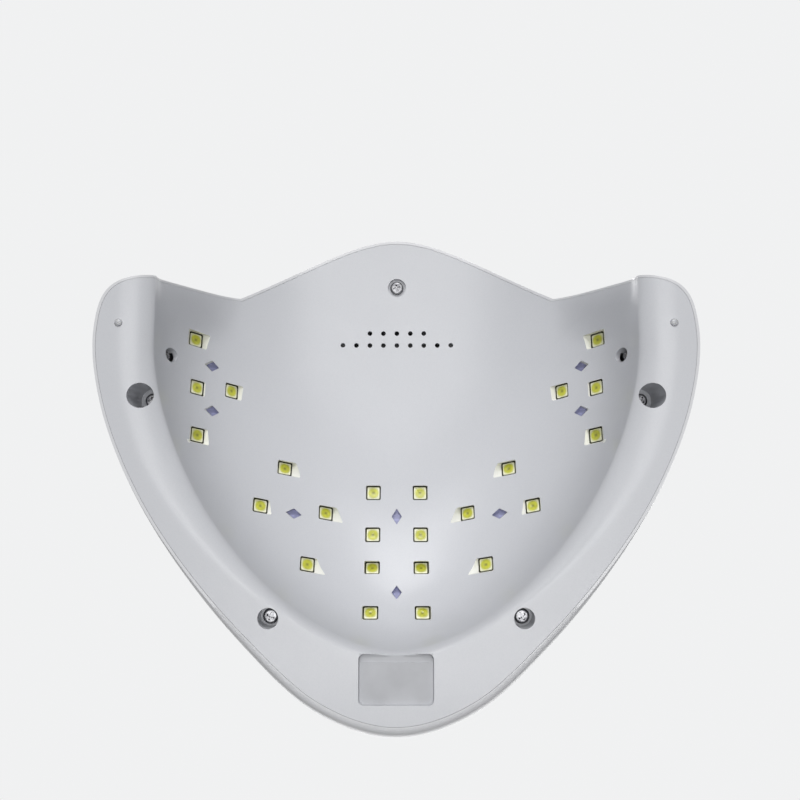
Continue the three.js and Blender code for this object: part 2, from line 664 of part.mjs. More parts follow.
function outerShell() {
  const whole = domeSolid(0);
  const core = domeSolid(SHELL_WALL / 2);
  let shell = whole.subtract(domeSolid(SHELL_WALL, -OVERRUN));
  SCREWS.forEach((screw) => {
    shell = shell.add(placed(rod(BOSS_RADIUS, screw.top + GAP, HEIGHT), at(screw.x, screw.y)).intersect(core));
  });
  POST_PLACE_SHARES.forEach(([across, along]) => {
    const frame = boardFrame.clone().multiply(at(across * BOARD_WIDTH, along * BOARD_LENGTH));
    shell = shell.add(placed(rod(POST_RADIUS, BOARD_THICKNESS + GAP, HEIGHT, SMALL_SIDES), frame).intersect(core));
    shell = shell.add(placed(rod(POST_PIN, -BOARD_THICKNESS / 2, HEIGHT, SMALL_SIDES), frame).intersect(core));
  });
  SCREWS.forEach((screw) => {
    const pilot = rod(SCREW_RADIUS + GAP, 0, screw.shelf + SCREW_LENGTH + GAP, SMALL_SIDES);
    shell = shell.subtract(placed(pilot, at(screw.x, screw.y)));
  });
  return shell.subtract(panelRecess()).subtract(shellOpenings()).subtract(cavity);
}

function panelPrism(margin) {
  const [width, length] = PANEL_SIZE.map((size) => size + 2 * margin);
  return placed(roundedPlate(width, length, PANEL_CORNER + margin, BOARD_Z, HEIGHT + OVERRUN), at(0, PANEL_Y));
}

function panelRecess() {
  return panelPrism(GAP).subtract(domeSolid(PANEL_THICKNESS + GAP));
}

function shellOpenings() {
  const [windowWidth, windowLength] = DISPLAY_WINDOW;
  let cuts = placed(block(windowWidth, windowLength, BOARD_Z, HEIGHT), at(0, DISPLAY_Y));
  BUTTONS.forEach((button) => {
    cuts = cuts.add(placed(rod(BUTTON_RADIUS + GAP, BOARD_THICKNESS, HEIGHT / 2), button.frame));
  });
  for (let i = 0; i < EXHAUST_COUNT; i++) {
    const x = (i - (EXHAUST_COUNT - 1) / 2) * EXHAUST_PITCH;
    const slot = block(EXHAUST_WIDTH, EXHAUST_LENGTH, HEIGHT / 2, HEIGHT);
    cuts = cuts.add(placed(slot, at(x, EXHAUST_Y_SHARE * HALF_LENGTH)));
  }
  return cuts.add(placed(rod(SOCKET_HOLE, 0, 2 * SHELL_WALL + OVERRUN), socketFrame()));
}

// Control panel: a lens that follows the dome and lies in the shell's recess

function controlPanel() {
  let panel = panelPrism(0).intersect(domeSolid(0)).subtract(domeSolid(PANEL_THICKNESS));
  BUTTONS.forEach((button) => {
    panel = panel.subtract(placed(rod(BUTTON_RADIUS + GAP, 0, HEIGHT / 2), button.frame));
  });
  return panel;
}

// Button: cap through panel and shell, collar under the shell, stem to the switch

function buttonSolid(button) {
  const collarTop = button.lowest - SHELL_WALL - COLLAR_SLACK;
  const collar = rod(collarRadius, collarTop - COLLAR_HEIGHT, collarTop);
  const cap = rod(BUTTON_RADIUS, collarTop - COLLAR_HEIGHT, button.roof + BUTTON_PROUD);
  const stem = rod(STEM_RADIUS, STEM_FOOT, collarTop, SMALL_SIDES);
  return solid(collar).add(solid(cap)).add(solid(stem)).transform(button.frame.elements);
}

function tactSwitch(button) {
  const body = solid(block(SWITCH_SIZE, SWITCH_SIZE, BOARD_THICKNESS + GAP, SWITCH_TOP));
  const floor = SWITCH_TOP - PLUNGER_SUNK - BUTTON_TRAVEL - GAP;
  const well = rod(PLUNGER_RADIUS + GAP, floor, SWITCH_TOP + OVERRUN, SMALL_SIDES);
  return body.subtract(solid(well)).transform(button.frame.elements);
}

function switchPlunger(button) {
  const plunger = rod(PLUNGER_RADIUS, SWITCH_TOP - PLUNGER_SUNK, SWITCH_TOP + PLUNGER_PROUD, SMALL_SIDES);
  return placed(plunger, button.frame);
}

// Main board, hung on pins of the shell's posts, and the display module on it

function mainBoard() {
  let board = solid(block(BOARD_WIDTH, BOARD_LENGTH, 0, BOARD_THICKNESS));
  POST_PLACE_SHARES.forEach(([across, along]) => {
    const hole = rod(POST_PIN + GAP, -OVERRUN, OVERRUN, SMALL_SIDES);
    board = board.subtract(placed(hole, at(across * BOARD_WIDTH, along * BOARD_LENGTH)));
  });
  return board.transform(boardFrame.elements);
}

function displayModule() {
  const [width, length] = DISPLAY_SIZE;
  const roof = overBoard(DISPLAY_Y, lowestDome(0, DISPLAY_Y, width * Math.SQRT1_2, length * Math.SQRT1_2, tilt));
  const top = roof - SHELL_WALL - DISPLAY_CLEARANCE;
  return placed(block(width, length, BOARD_THICKNESS + GAP, top), onBoard(0, DISPLAY_Y + roof * Math.sin(tilt)));
}

// Inner shell: reflector bowl and flange, with LED pads, wells, fan seat and every opening

function innerShell() {
  const edge = (angle) => -rollAt(angle) - SHELL_WALL - GAP;
  let shell = bowlSolid(LINER_WALL, edge);
  shell = shell.add(placed(block(FAN_SIZE, FAN_SIZE, FAN_SEAT - LINER_WALL, FAN_SEAT), at(0, FAN_Y)));
  LED_GROUPS.forEach((group) => {
    const pad = block(group.width, group.length, -LED_HEIGHT - MOUTH_RADIUS, -GAP);
    shell = shell.add(inGroup(group, ...group.centre, pad));
  });
  SCREWS.forEach((screw) => {
    const well = rod(screw.radius + WELL_WALL, bowlZ(screw.x, screw.y), screw.top);
    shell = shell.add(placed(well, at(screw.x, screw.y)));
  });
  [-1, 1].forEach((side) => {
    const sleeve = rod(SENSOR_RADIUS + GAP + SENSOR_SLEEVE, 0, SENSOR_LENGTH / 2, SMALL_SIDES);
    shell = shell.add(placed(sleeve, sensorFrame(side)));
  });
  return shell.subtract(cavity).subtract(innerOpenings()).add(fanPegs());
}

function fanPegs() {
  const spread = FAN_HOLE_PITCH / 2;
  const pegs = [[1, 1], [1, -1], [-1, 1], [-1, -1]].map(([x, y]) => {
    const peg = rod(FAN_PEG / 2, FAN_SEAT - LINER_WALL / 2, FAN_TOP, SMALL_SIDES);
    return placed(peg, at(x * spread, FAN_Y + y * spread));
  });
  return pegs.reduce((all, peg) => all.add(peg));
}

function innerOpenings() {
  const cuts = [];
  LED_GROUPS.forEach((group) => {
    cuts.push(inGroup(group, ...group.centre, block(group.width + GAP, group.length + GAP, -GAP, OVERRUN)));
    group.leds.forEach(({ x, y }) => cuts.push(inGroup(group, x, y, ledSocket())));
    group.leds.forEach(({ x, y }) => cuts.push(pulledDown(group, x, y, -GAP - LED_HEIGHT, ledWindow())));
    group.rhombi.forEach(({ x, y }) => cuts.push(pulledDown(group, x, y, 0, rhombusWindow())));
  });
  SCREWS.forEach((screw) => {
    cuts.push(placed(rod(screw.radius, -OVERRUN, screw.shelf), at(screw.x, screw.y)));
    cuts.push(placed(rod(SCREW_RADIUS + GAP, 0, screw.top + OVERRUN, SMALL_SIDES), at(screw.x, screw.y)));
  });
  NUBS.forEach((nub) => {
    cuts.push(placed(rod(NUB_RADIUS + GAP, -OVERRUN, OVERRUN, SMALL_SIDES), at(nub.x, nub.y)));
  });
  VENT_COUNTS.forEach((count, row) => {
    const y = FAN_Y - VENT_ROW_START - row * VENT_ROW_PITCH;
    for (let i = 0; i < count; i++) {
      const x = (i - (count - 1) / 2) * VENT_PITCH;
      cuts.push(placed(rod(VENT_RADIUS, CEILING - OVERRUN, FAN_SEAT + OVERRUN, SMALL_SIDES), at(x, y)));
    }
  });
  [-1, 1].forEach((side) => {
    const hole = rod(SENSOR_RADIUS + GAP, -OVERRUN, SENSOR_LENGTH + OVERRUN, SMALL_SIDES);
    cuts.push(placed(hole, sensorFrame(side)));
  });
  const label = roundedPlate(LABEL_WIDTH, LABEL_LENGTH, LABEL_CORNER, -OVERRUN, LABEL_DEPTH);
  cuts.push(placed(label, at(0, LABEL_Y_SHARE * HALF_LENGTH)));
  return cuts.reduce((all, cut) => all.add(cut));
}

// Straight room for one LED, from its board to just past its face
function ledSocket() {
  const size = LED_SIZE + 2 * GAP;
  return block(size, size, -GAP - LED_HEIGHT - SLIVER, GAP);
}

// Square window below an LED, flaring towards the bowl
function ledWindow() {
  const half = LED_SIZE / 2 + WINDOW_CLEARANCE;
  const depth = MOUTH_RADIUS + OVERRUN;
  const wide = half + WINDOW_FLARE * depth;
  const flare = rod(wide * Math.SQRT2, -depth, 0, 4, half * Math.SQRT2);
  return flare.rotateZ(Math.PI / 4);
}

function rhombusWindow() {
  const cut = rod(1, -MOUTH_RADIUS - OVERRUN, 0, 4);
  cut.scale(RHOMBUS_LONG / 2, RHOMBUS_SHORT / 2, 1);
  return cut;
}

function joined(first, second) {
  const { vertProperties, triVerts } = solid(first).add(solid(second)).getMesh();
  const geometry = new THREE.BufferGeometry();
  geometry.setAttribute('position', new THREE.BufferAttribute(new Float32Array(vertProperties), 3));
  geometry.setIndex(new THREE.BufferAttribute(new Uint32Array(triVerts), 1));
  return geometry;
}

// LED boards and LEDs

function ledBoard(group) {
  const board = block(group.width - GAP, group.length - GAP, 0, LED_BOARD_THICKNESS);
  return inGroup(group, ...group.centre, board);
}

function ledSolid(group, led) {
  const half = LED_SIZE / 2;
  const lens = LED_LENS / 2;
  const body = block(2 * half, 2 * half, -GAP - LED_HEIGHT / 2, -GAP);
  const cap = rod(lens * Math.SQRT2, -GAP - LED_HEIGHT, -GAP - LED_HEIGHT / 2, 4, half * Math.SQRT2);
  cap.rotateZ(Math.PI / 4);
  return inGroup(group, led.x, led.y, joined(body, cap));
}

function infraredSensor(side) {
  const dome = new THREE.SphereGeometry(SENSOR_RADIUS, SMALL_SIDES, SMALL_SIDES);
  dome.translate(0, 0, SENSOR_RADIUS);
  const body = rod(SENSOR_RADIUS, SENSOR_RADIUS, SENSOR_LENGTH, SMALL_SIDES);
  return placed(body, sensorFrame(side)).add(placed(dome, sensorFrame(side)));
}

// Fan

function fanFrame() {
  let frame = solid(block(FAN_SIZE, FAN_SIZE, FAN_BOTTOM, FAN_TOP));
  frame = frame.subtract(solid(rod(FAN_BORE / 2, 0, HEIGHT, 2 * ROUND_SIDES)));
  const low = FAN_TOP - STRUT_HEIGHT;
  [0, Math.PI / 2].forEach((turn) => {
    const strut = block((FAN_SIZE + FAN_BORE) / 2, STRUT_WIDTH, low, FAN_TOP);
    frame = frame.add(solid(strut.rotateZ(turn)));
  });
  frame = frame.add(solid(rod(ROTOR_HUB, low, FAN_TOP)));
  frame = frame.subtract(solid(rod(SHAFT_RADIUS + GAP, 0, HEIGHT, SMALL_SIDES)));
  [[1, 1], [1, -1], [-1, 1], [-1, -1]].forEach(([x, y]) => {
    const hole = rod(FAN_PEG / 2 + GAP, 0, HEIGHT, SMALL_SIDES);
    frame = frame.subtract(placed(hole, at((x * FAN_HOLE_PITCH) / 2, (y * FAN_HOLE_PITCH) / 2)));
  });
  return frame.transform(at(0, FAN_Y).elements);
}

function fanRotor() {
  const top = FAN_TOP - STRUT_HEIGHT - GAP;
  const middle = top - ROTOR_HEIGHT / 2;
  let rotor = solid(rod(ROTOR_HUB, top - ROTOR_HEIGHT, top));
  rotor = rotor.add(solid(rod(SHAFT_RADIUS, top - GAP, FAN_TOP, SMALL_SIDES)));
  for (let i = 0; i < BLADE_COUNT; i++) {
    const root = ROTOR_HUB - BLADE_THICKNESS;
    const blade = new THREE.BoxGeometry(ROTOR_RADIUS - root, ROTOR_HEIGHT, BLADE_THICKNESS);
    blade.rotateX(THREE.MathUtils.degToRad(BLADE_PITCH));
    blade.translate((ROTOR_RADIUS + root) / 2, 0, middle);
    blade.rotateZ((2 * Math.PI * i) / BLADE_COUNT);
    rotor = rotor.add(solid(blade));
  }
  return rotor.transform(at(0, FAN_Y).elements);
}

// Power inlet at the rear tip, its bore facing out along +Y

function socketFrame() {
  const low = 1 - (LINER_WALL + GAP) / BELT_HEIGHT;
  const sag = 1 - Math.sqrt(1 - low ** 2);
  const corner = Math.atan2(SOCKET_WIDTH / 2, HALF_LENGTH - HUB_Y - SHELL_WALL - ROLL_REAR);
  const wall = HUB_Y + (chordReach(corner) - SHELL_WALL - ROLL_REAR * sag) * Math.cos(corner);
  const frame = at(0, wall - SOCKET_SETBACK, LINER_WALL + GAP + SOCKET_HEIGHT / 2);
  return frame.multiply(new THREE.Matrix4().makeRotationX(-Math.PI / 2));
}

// Reach of the dome's faceted belt near the rear tip
function chordReach(angle) {
  const [tip, next] = [domeReach(STATIONS[0]), domeReach(STATIONS[1])];
  return tip + ((next - tip) * angle) / STATIONS[1];
}

function dcSocket() {
  const body = solid(block(SOCKET_WIDTH, SOCKET_HEIGHT, -SOCKET_DEPTH, 0));
  const bore = solid(rod(SOCKET_BORE, -SOCKET_BORE_DEPTH, OVERRUN));
  const pin = solid(rod(SOCKET_PIN, -SOCKET_DEPTH / 2 - SOCKET_BORE_DEPTH / 2, -SOCKET_PIN, SMALL_SIDES));
  return body.subtract(bore).add(pin).transform(socketFrame().elements);
}

// Screw, head down, with a cross recess

function caseScrew(screw) {
  const head = screw.shelf - GAP;
  const low = head - SCREW_HEAD_HEIGHT;
  const rim = low + HEAD_ROUND_SHARE * SCREW_HEAD_HEIGHT;
  const tip = screw.shelf + SCREW_LENGTH;
  let body = turned([
    [0, low], [HEAD_FACE_SHARE * SCREW_HEAD_RADIUS, low], [SCREW_HEAD_RADIUS, rim], [SCREW_HEAD_RADIUS, head],
    [SCREW_RADIUS, head], [SCREW_RADIUS, tip - SCREW_RADIUS], [0, tip],
  ], ROUND_SIDES);
  const arm = SLOT_SHARE * 2 * SCREW_HEAD_RADIUS;
  [[arm, SLOT_WIDTH], [SLOT_WIDTH, arm]].forEach(([x, y]) => {
    body = body.subtract(solid(block(x, y, low - OVERRUN, low + SLOT_DEPTH)));
  });
  return body.transform(at(screw.x, screw.y).elements);
}

function footNub(nub) {
  const seat = bowlZ(nub.x, nub.y) + LINER_WALL + GAP;
  const collar = NUB_RADIUS + NUB_COLLAR;
  const profile = [
    [0, 0], [NUB_TIP_SHARE * NUB_RADIUS, 0], [NUB_RADIUS, NUB_HEIGHT / 2], [NUB_RADIUS, seat],
    [collar, seat], [collar, seat + NUB_COLLAR], [0, seat + NUB_COLLAR],
  ];
  return turned(profile, SMALL_SIDES).transform(at(nub.x, nub.y).elements);
}

// Wiring loom: branches from a junction under the main board to every electrical piece

function wireTube(points) {
  const route = new THREE.CatmullRomCurve3(points, false, 'centripetal');
  const section = new THREE.Shape();
  section.absarc(0, 0, WIRE_RADIUS, 0, 2 * Math.PI);
  return solid(new THREE.ExtrudeGeometry(section, {
    steps: WIRE_STEPS,
    curveSegments: WIRE_HALF_SIDES,
    extrudePath: route,
    bevelEnabled: false,
  }));
}

function wiringLoom() {
  const boardEnd = new THREE.Vector3(0, BOARD_LENGTH / 3, -2 * GAP).applyMatrix4(boardFrame);
  const hub = boardEnd.clone().add(new THREE.Vector3(0, WIRE_LEAD, -2 * WIRE_LEAD));
  const below = boardEnd.clone().add(new THREE.Vector3(0, 0, -WIRE_LEAD));
  const routes = LED_GROUPS.map((group) => {
    const toHub = hub.clone().applyMatrix4(group.frame.clone().invert());
    const x = THREE.MathUtils.clamp(toHub.x, group.centre[0] - group.width / 4, group.centre[0] + group.width / 4);
    const y = THREE.MathUtils.clamp(toHub.y, group.centre[1] - group.length / 4, group.centre[1] + group.length / 4);
    const lift = (z) => new THREE.Vector3(x, y, z).applyMatrix4(group.frame);
    return [lift(LED_BOARD_THICKNESS + 2 * WIRE_LEAD), lift(LED_BOARD_THICKNESS + 2 * GAP)];
  });
  const socketBack = new THREE.Vector3(0, 0, -SOCKET_DEPTH - 2 * GAP).applyMatrix4(socketFrame());
  const behindBowl = new THREE.Vector3(0, BOWL_FRONT + BOWL_LENGTH + MOUTH_RADIUS, CEILING / 2);
  routes.push([behindBowl, socketBack.clone().add(new THREE.Vector3(0, -WIRE_LEAD, 0)), socketBack]);
  const fanBack = new THREE.Vector3(0, FAN_Y + FAN_SIZE / 2 + 2 * GAP, FAN_BOTTOM + FAN_DEPTH / 2);
  routes.push([fanBack.clone().add(new THREE.Vector3(0, WIRE_LEAD, 0)), fanBack]);
  [-1, 1].forEach((side) => {
    const group = LED_GROUPS.find(({ name }) => name === (side > 0 ? 'right' : 'left'));
    const overBoard = new THREE.Vector3(...group.centre, 3 * WIRE_LEAD).applyMatrix4(group.frame);
    const back = (z) => new THREE.Vector3(0, 0, SENSOR_LENGTH + z).applyMatrix4(sensorFrame(side));
    routes.push([overBoard, back(WIRE_LEAD), back(2 * GAP)]);
  });
  let loom = wireTube([boardEnd, below, hub]);
  routes.forEach((route) => {
    const middle = hub.clone().lerp(route[0], 1 / 2);
    middle.z = Math.max(middle.z, bowlZ(middle.x, middle.y) + LINER_WALL + WIRE_HEADROOM);
    loom = loom.add(wireTube([hub, middle, ...route]));
  });
  return loom;
}

// Assembly

function buildLamp() {
  const lamp = new THREE.Group();
  addMesh(lamp, 'outer_shell', outerShell(), pearl);
  addMesh(lamp, 'inner_shell', innerShell(), reflector);
  addMesh(lamp, 'control_panel', controlPanel(), gloss);
  BUTTONS.forEach((button) => {
    addMesh(lamp, `button_${button.label}`, buttonSolid(button), keys);
    addMesh(lamp, `tact_switch_${button.label}`, tactSwitch(button), blackPlastic);
    addMesh(lamp, `switch_plunger_${button.label}`, switchPlunger(button), keys);
  });
  addMesh(lamp, 'main_board', mainBoard(), greenBoard);
  addMesh(lamp, 'display_module', displayModule(), blackPlastic);
  LED_GROUPS.forEach((group) => {
    addMesh(lamp, `led_board_${group.name}`, ledBoard(group), whiteBoard);
    group.leds.forEach((led, i) => addMesh(lamp, `led_${group.name}_${i + 1}`, ledSolid(group, led), phosphor));
  });
  addMesh(lamp, 'ir_emitter', infraredSensor(-1), smokedLens);
  addMesh(lamp, 'ir_receiver', infraredSensor(1), smokedLens);
  addMesh(lamp, 'fan_frame', fanFrame(), blackPlastic);
  addMesh(lamp, 'fan_rotor', fanRotor(), blackPlastic);
  addMesh(lamp, 'dc_socket', dcSocket(), blackPlastic);
  SCREWS.forEach((screw) => addMesh(lamp, screw.name, caseScrew(screw), steel));
  NUBS.forEach((nub) => addMesh(lamp, nub.name, footNub(nub), softNub));
  addMesh(lamp, 'wiring_loom', wiringLoom(), wire);
  return lamp;
}

export default buildLamp();
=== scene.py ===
import json
import math
from collections import namedtuple

import bpy
import numpy as np
from mathutils import Matrix, Vector


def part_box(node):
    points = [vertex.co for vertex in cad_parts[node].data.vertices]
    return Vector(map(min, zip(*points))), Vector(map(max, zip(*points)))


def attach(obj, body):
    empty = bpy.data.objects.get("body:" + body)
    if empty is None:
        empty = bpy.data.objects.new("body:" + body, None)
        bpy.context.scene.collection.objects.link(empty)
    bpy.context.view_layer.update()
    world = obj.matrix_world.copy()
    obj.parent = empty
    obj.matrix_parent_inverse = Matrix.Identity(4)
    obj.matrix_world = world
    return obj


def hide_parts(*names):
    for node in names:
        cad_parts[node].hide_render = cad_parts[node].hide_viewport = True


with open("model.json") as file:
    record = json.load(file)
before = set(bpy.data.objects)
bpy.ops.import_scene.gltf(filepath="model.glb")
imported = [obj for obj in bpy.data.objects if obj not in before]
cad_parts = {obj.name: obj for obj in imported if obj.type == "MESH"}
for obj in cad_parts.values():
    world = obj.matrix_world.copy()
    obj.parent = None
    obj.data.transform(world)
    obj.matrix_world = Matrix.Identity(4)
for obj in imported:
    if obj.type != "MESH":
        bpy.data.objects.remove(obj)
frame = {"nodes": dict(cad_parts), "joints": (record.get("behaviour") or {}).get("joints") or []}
for leftover in ("Camera", "Cube", "Light"):
    if leftover in bpy.data.objects:
        bpy.data.objects.remove(bpy.data.objects[leftover])
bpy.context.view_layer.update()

bl_info = {
    "name": "LED Nail Lamp",
    "version": (1, 0, 0),
    "blender": (4, 5, 0),
    "location": "3D View > Sidebar > Nail Lamp",
    "description": "Builds the shells, LEDs, fittings, panel and stage of an LED nail lamp",
    "category": "Object",
}

# The lamp's own form, in millimetres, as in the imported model
MM = 0.001
HALF_WIDTH, HALF_LENGTH, HEIGHT = 115.5, 101.25, 100.0
HUB_Y = 0.0988 * HALF_LENGTH
OUTLINE_SHARES = [(0, 1), (0.265, 0.9051), (0.5092, 0.6534), (0.7188, 0.36), (0.8729, 0.0656),
                  (0.9706, -0.2323), (0.9955, -0.5085), (0.9246, -0.7748), (0.6922, -1.0276),
                  (0.3659, -1.1831), (0, -1.2511)]
FOOT_Y = -0.722 * HALF_LENGTH
NOTCH_X = 0.589 * HALF_WIDTH
VISOR_ROUND, EAR_SHARPNESS = 26.0, 16
BELT_HEIGHT, ROLL_REAR = 9.0, 4.0
FRONT_EDGE, FRONT_EDGE_SHARE, SLIVER = 2.5, 0.25, 0.05
BOWL_HALF = HALF_WIDTH - 22.5
BOWL_FRONT = -0.444 * HALF_LENGTH
BOWL_LENGTH = HALF_LENGTH - 31.5 - BOWL_FRONT
MOUTH_POWER, MOUTH_RADIUS = 1.7, 6.0
NUB_HEIGHT, LAND_SHARE, LIP_START, VISOR_THICKNESS = 0.8, 0.395, -0.494 * HALF_LENGTH, 5.4
GAP, OVERRUN = 0.3, 6.0
SKIN_INSET = 0.15
SEAM_INSET, SEAM_GAP, RIM_STRIP = 1.2, 0.12, 1.0
SPREAD_PLACES, SPREAD_WIDTHS = (0.0, 55.0), (8.0, -3.0)
FRONT_EASE, EASE_WIDTH, EASE_START, EASE_POWER = 33.0, 26.0, -50.0, 0.45

# How finely the forms are drawn; a weight is the length in millimetres that one radian of turn counts for
COLUMNS, DOME_ROWS, CUTTER_ROWS, BRIM_ROWS, BOWL_ROWS = 480, 84, 60, 34, 56
OUTLINE_STEPS, PLAN_STEPS, HALVINGS = 48, 4001, 48
FOOT_STEPS, EDGE_STEPS, ROUNDING_STEPS, CAP_STEPS, WALL_STEPS = 24, 12, 60, 160, 200
PLAN_TURN, DOME_TURN, BOWL_TURN, SHORTEST_STEP = 30, 14, 16, 1e-4
EAR_WEIGHT, EAR_BEFORE, EAR_BESIDE = 2.5, 12.0, 4.0


def box_of(node):
    """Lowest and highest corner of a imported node, in millimetres"""
    low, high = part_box(node)
    return low / MM, high / MM


fan_low, fan_high = box_of("fan_frame")
FAN_Y = (fan_low.y + fan_high.y) / 2


# Settings that a user would change

def length_setting(name, millimetres, description):
    return bpy.props.FloatProperty(name=name, description=description, default=millimetres * MM,
                                   min=0, subtype="DISTANCE", unit="LENGTH", precision=4)


def colour_setting(name, colour, description):
    return bpy.props.FloatVectorProperty(name=name, description=description, default=colour,
                                         size=3, min=0, max=1, subtype="COLOR")


class LampSizes(bpy.types.PropertyGroup):
    shell_wall: length_setting("Shell wall", 2.4, "Wall of the outer dome")
    dome_roundness: bpy.props.FloatProperty(name="Dome roundness", default=2.2, min=1.5, max=4,
                                            description="Power of the curve from the dome's belt to its top")
    bowl_roundness: bpy.props.FloatProperty(name="Bowl roundness", default=2.5, min=1.5, max=5,
                                            description="Power of the curve from its mouth to its ceiling")
    liner_wall: length_setting("Liner wall", 2.0, "Wall of the reflector bowl")
    led: length_setting("LED", 5.0, "Side of one square LED package")
    led_height: length_setting("LED height", 1.3, "Height of one LED package over its board")
    vent_radius: length_setting("Vent radius", 1.05, "Radius of one vent hole over the fan")
    nub_radius: length_setting("Nub radius", 1.5, "Radius of one foot nub")
    key_dish: length_setting("Key dish", 0.35, "Depth of the hollow in a button's face")
    label_depth: length_setting("Label recess", 1.4, "Depth of the blank label recess")


class LampColours(bpy.types.PropertyGroup):
    shell: colour_setting("Shell", (0.72, 0.725, 0.745), "Pearl plastic of the dome")
    reflector: colour_setting("Reflector", (0.62, 0.63, 0.66), "Pearl plastic of the bowl and flange")
    # The reveal colour is lighter than the reflector's pearl: painted light on the window walls
    reveal: colour_setting("Window reveal", (0.86, 0.86, 0.80), "Window walls painted lighter as lit")
    phosphor: colour_setting("Phosphor", (0.60, 0.61, 0.035), "Yellow-green silicone of the LEDs")
    board: colour_setting("LED board", (0.34, 0.35, 0.56), "Coated aluminium board behind the windows")
    panel: colour_setting("Panel", (0.018, 0.019, 0.024), "Smoked lens on the dome")
    keys: colour_setting("Keys", (0.74, 0.745, 0.76), "Button caps")


def sizes():
    return bpy.context.scene.nail_lamp_sizes


def colours():
    return bpy.context.scene.nail_lamp_colours


# Plan outline in polar form about the hub, angles counter-clockwise from the rear

def outline_curve():
    """Angles about the hub and distances from it along the right half of the dome's outline"""
    half = [np.array([x * HALF_WIDTH, y * HALF_LENGTH]) for x, y in OUTLINE_SHARES]
    loop = [half[1] * (-1, 1), *half, half[-2] * (-1, 1)]
    points = []
    for a, b, c, d in zip(loop, loop[1:], loop[2:], loop[3:]):
        for t in np.arange(OUTLINE_STEPS) / OUTLINE_STEPS:
            points.append(0.5 * (2 * b + (c - a) * t + (2 * a - 5 * b + 4 * c - d) * t ** 2
                                 + (3 * b - a - 3 * c + d) * t ** 3))
    points.append(half[-1])
    x, y = np.array(points).T
    return np.abs(np.arctan2(x, y - HUB_Y)), np.hypot(x, y - HUB_Y)


OUTLINE_ANGLES, OUTLINE_REACHES = outline_curve()


def dome_reach(angle):
    folded = np.where(angle > math.pi, 2 * math.pi - angle, angle)
    return np.interp(folded, OUTLINE_ANGLES, OUTLINE_REACHES)


def plan_point(angle, reach):
    return -reach * np.sin(angle), HUB_Y + reach * np.cos(angle)


def visor_y(x):
    rise = (np.hypot(x, VISOR_ROUND) - VISOR_ROUND) / (math.hypot(NOTCH_X, VISOR_ROUND) - VISOR_ROUND)
    return np.where(np.abs(x) >= NOTCH_X, FOOT_Y, -HALF_LENGTH + (FOOT_Y + HALF_LENGTH) * rise)


def reach_where(inside, angle):
    """Distance from the hub along each angle up to which a test holds"""
    near, far = np.zeros_like(angle), np.full_like(angle, 4 * HALF_WIDTH)
    for _ in range(HALVINGS):
        middle = (near + far) / 2
        held = inside(*plan_point(angle, middle))
        near, far = np.where(held, middle, near), np.where(held, far, middle)
    return near


def outline_reach(angle):
    """The dome's outline at the rear, cut by the visor's at the front"""
    dome = dome_reach(angle)
    visor = reach_where(lambda x, y: y > visor_y(x), angle)
    cut = dome * (1 + (dome / visor) ** EAR_SHARPNESS) ** (-1 / EAR_SHARPNESS)
    return np.where(np.cos(angle) >= 0, dome, cut)


def roll_at(angle):
    """How far the dome's foot is rolled in, which is most at the rear tip"""
    return ROLL_REAR * ((1 + np.cos(angle)) / 2) ** 2


def column_angles():
    """Angles of the columns, close together where the outline turns"""
    angle = np.linspace(0, math.pi, PLAN_STEPS)
    plan = np.column_stack(plan_point(angle, outline_reach(angle)))
    steps = np.diff(plan, axis=0)
    turns = np.abs(np.diff(np.unwrap(np.arctan2(steps[:, 1], steps[:, 0])), prepend=0))
    turns[0] = 0
    at_ear = (plan[1:, 1] < FOOT_Y + EAR_BEFORE) & (np.abs(plan[1:, 0]) > NOTCH_X - EAR_BESIDE)
    lengths = np.hypot(*steps.T) * np.where(at_ear, EAR_WEIGHT, 1)
    way = np.concatenate([[0], np.cumsum(lengths + PLAN_TURN * turns)])
    half = np.interp(np.linspace(0, way[-1], COLUMNS // 2 + 1), way, angle)
    return np.concatenate([half, 2 * math.pi - half[-2:0:-1]])


ANGLES = column_angles()
OUTLINE = outline_reach(ANGLES)


# Dome

def superellipse(share, power):
    return np.clip(1 - np.minimum(1, share) ** power, 0, 1) ** (1 / power)


def dome_height(share, inset=0.0):
    """Height of the dome at a share of the way from its hub to its outline"""
    return BELT_HEIGHT + (HEIGHT - inset - BELT_HEIGHT) * superellipse(share, sizes().dome_roundness)


def dome_z(x, y):
    angle = np.abs(np.arctan2(x, y - HUB_Y))
    return dome_height(np.hypot(x, y - HUB_Y) / dome_reach(angle))


def dome_path(angle, outline, inset):
    """Profile of one column of the dome from its foot to the hub, as distance and height"""
    dome, reach = dome_reach(angle) - inset, outline - inset
    wall = float(dome_height(reach / dome, inset)) - BELT_HEIGHT
    wall = 0 if wall < SLIVER else wall
    edge = min(FRONT_EDGE, FRONT_EDGE_SHARE * wall)
    foot = np.linspace(0, 1, FOOT_STEPS)
    rolled = reach - roll_at(angle) * (1 - np.sqrt(1 - (1 - foot) ** 2))
    belt = np.column_stack([rolled, foot * BELT_HEIGHT])
    heights = BELT_HEIGHT + np.linspace(0, wall - edge, EDGE_STEPS)
    side = np.column_stack([np.full(EDGE_STEPS, reach), heights])
    shoulder = reach - edge
    start = np.array([reach, BELT_HEIGHT + wall - edge])
    end = np.array([shoulder, dome_height(shoulder / dome, inset) if wall else BELT_HEIGHT])
    corner = np.array([reach, BELT_HEIGHT + wall])
    t = np.linspace(0, 1, EDGE_STEPS)[:, None]
    rounding = (1 - t) ** 2 * start + 2 * t * (1 - t) * corner + t ** 2 * end
    power = sizes().dome_roundness
    opening = math.acos(min(1, (shoulder / dome) ** (power / 2)))
    reaches = dome * np.cos(np.linspace(opening, math.pi / 2, CAP_STEPS)) ** (2 / power)
    cap = np.column_stack([reaches, dome_height(reaches / dome, inset)])
    return np.vstack([belt, side, rounding, cap]), shoulder - SLIVER, dome


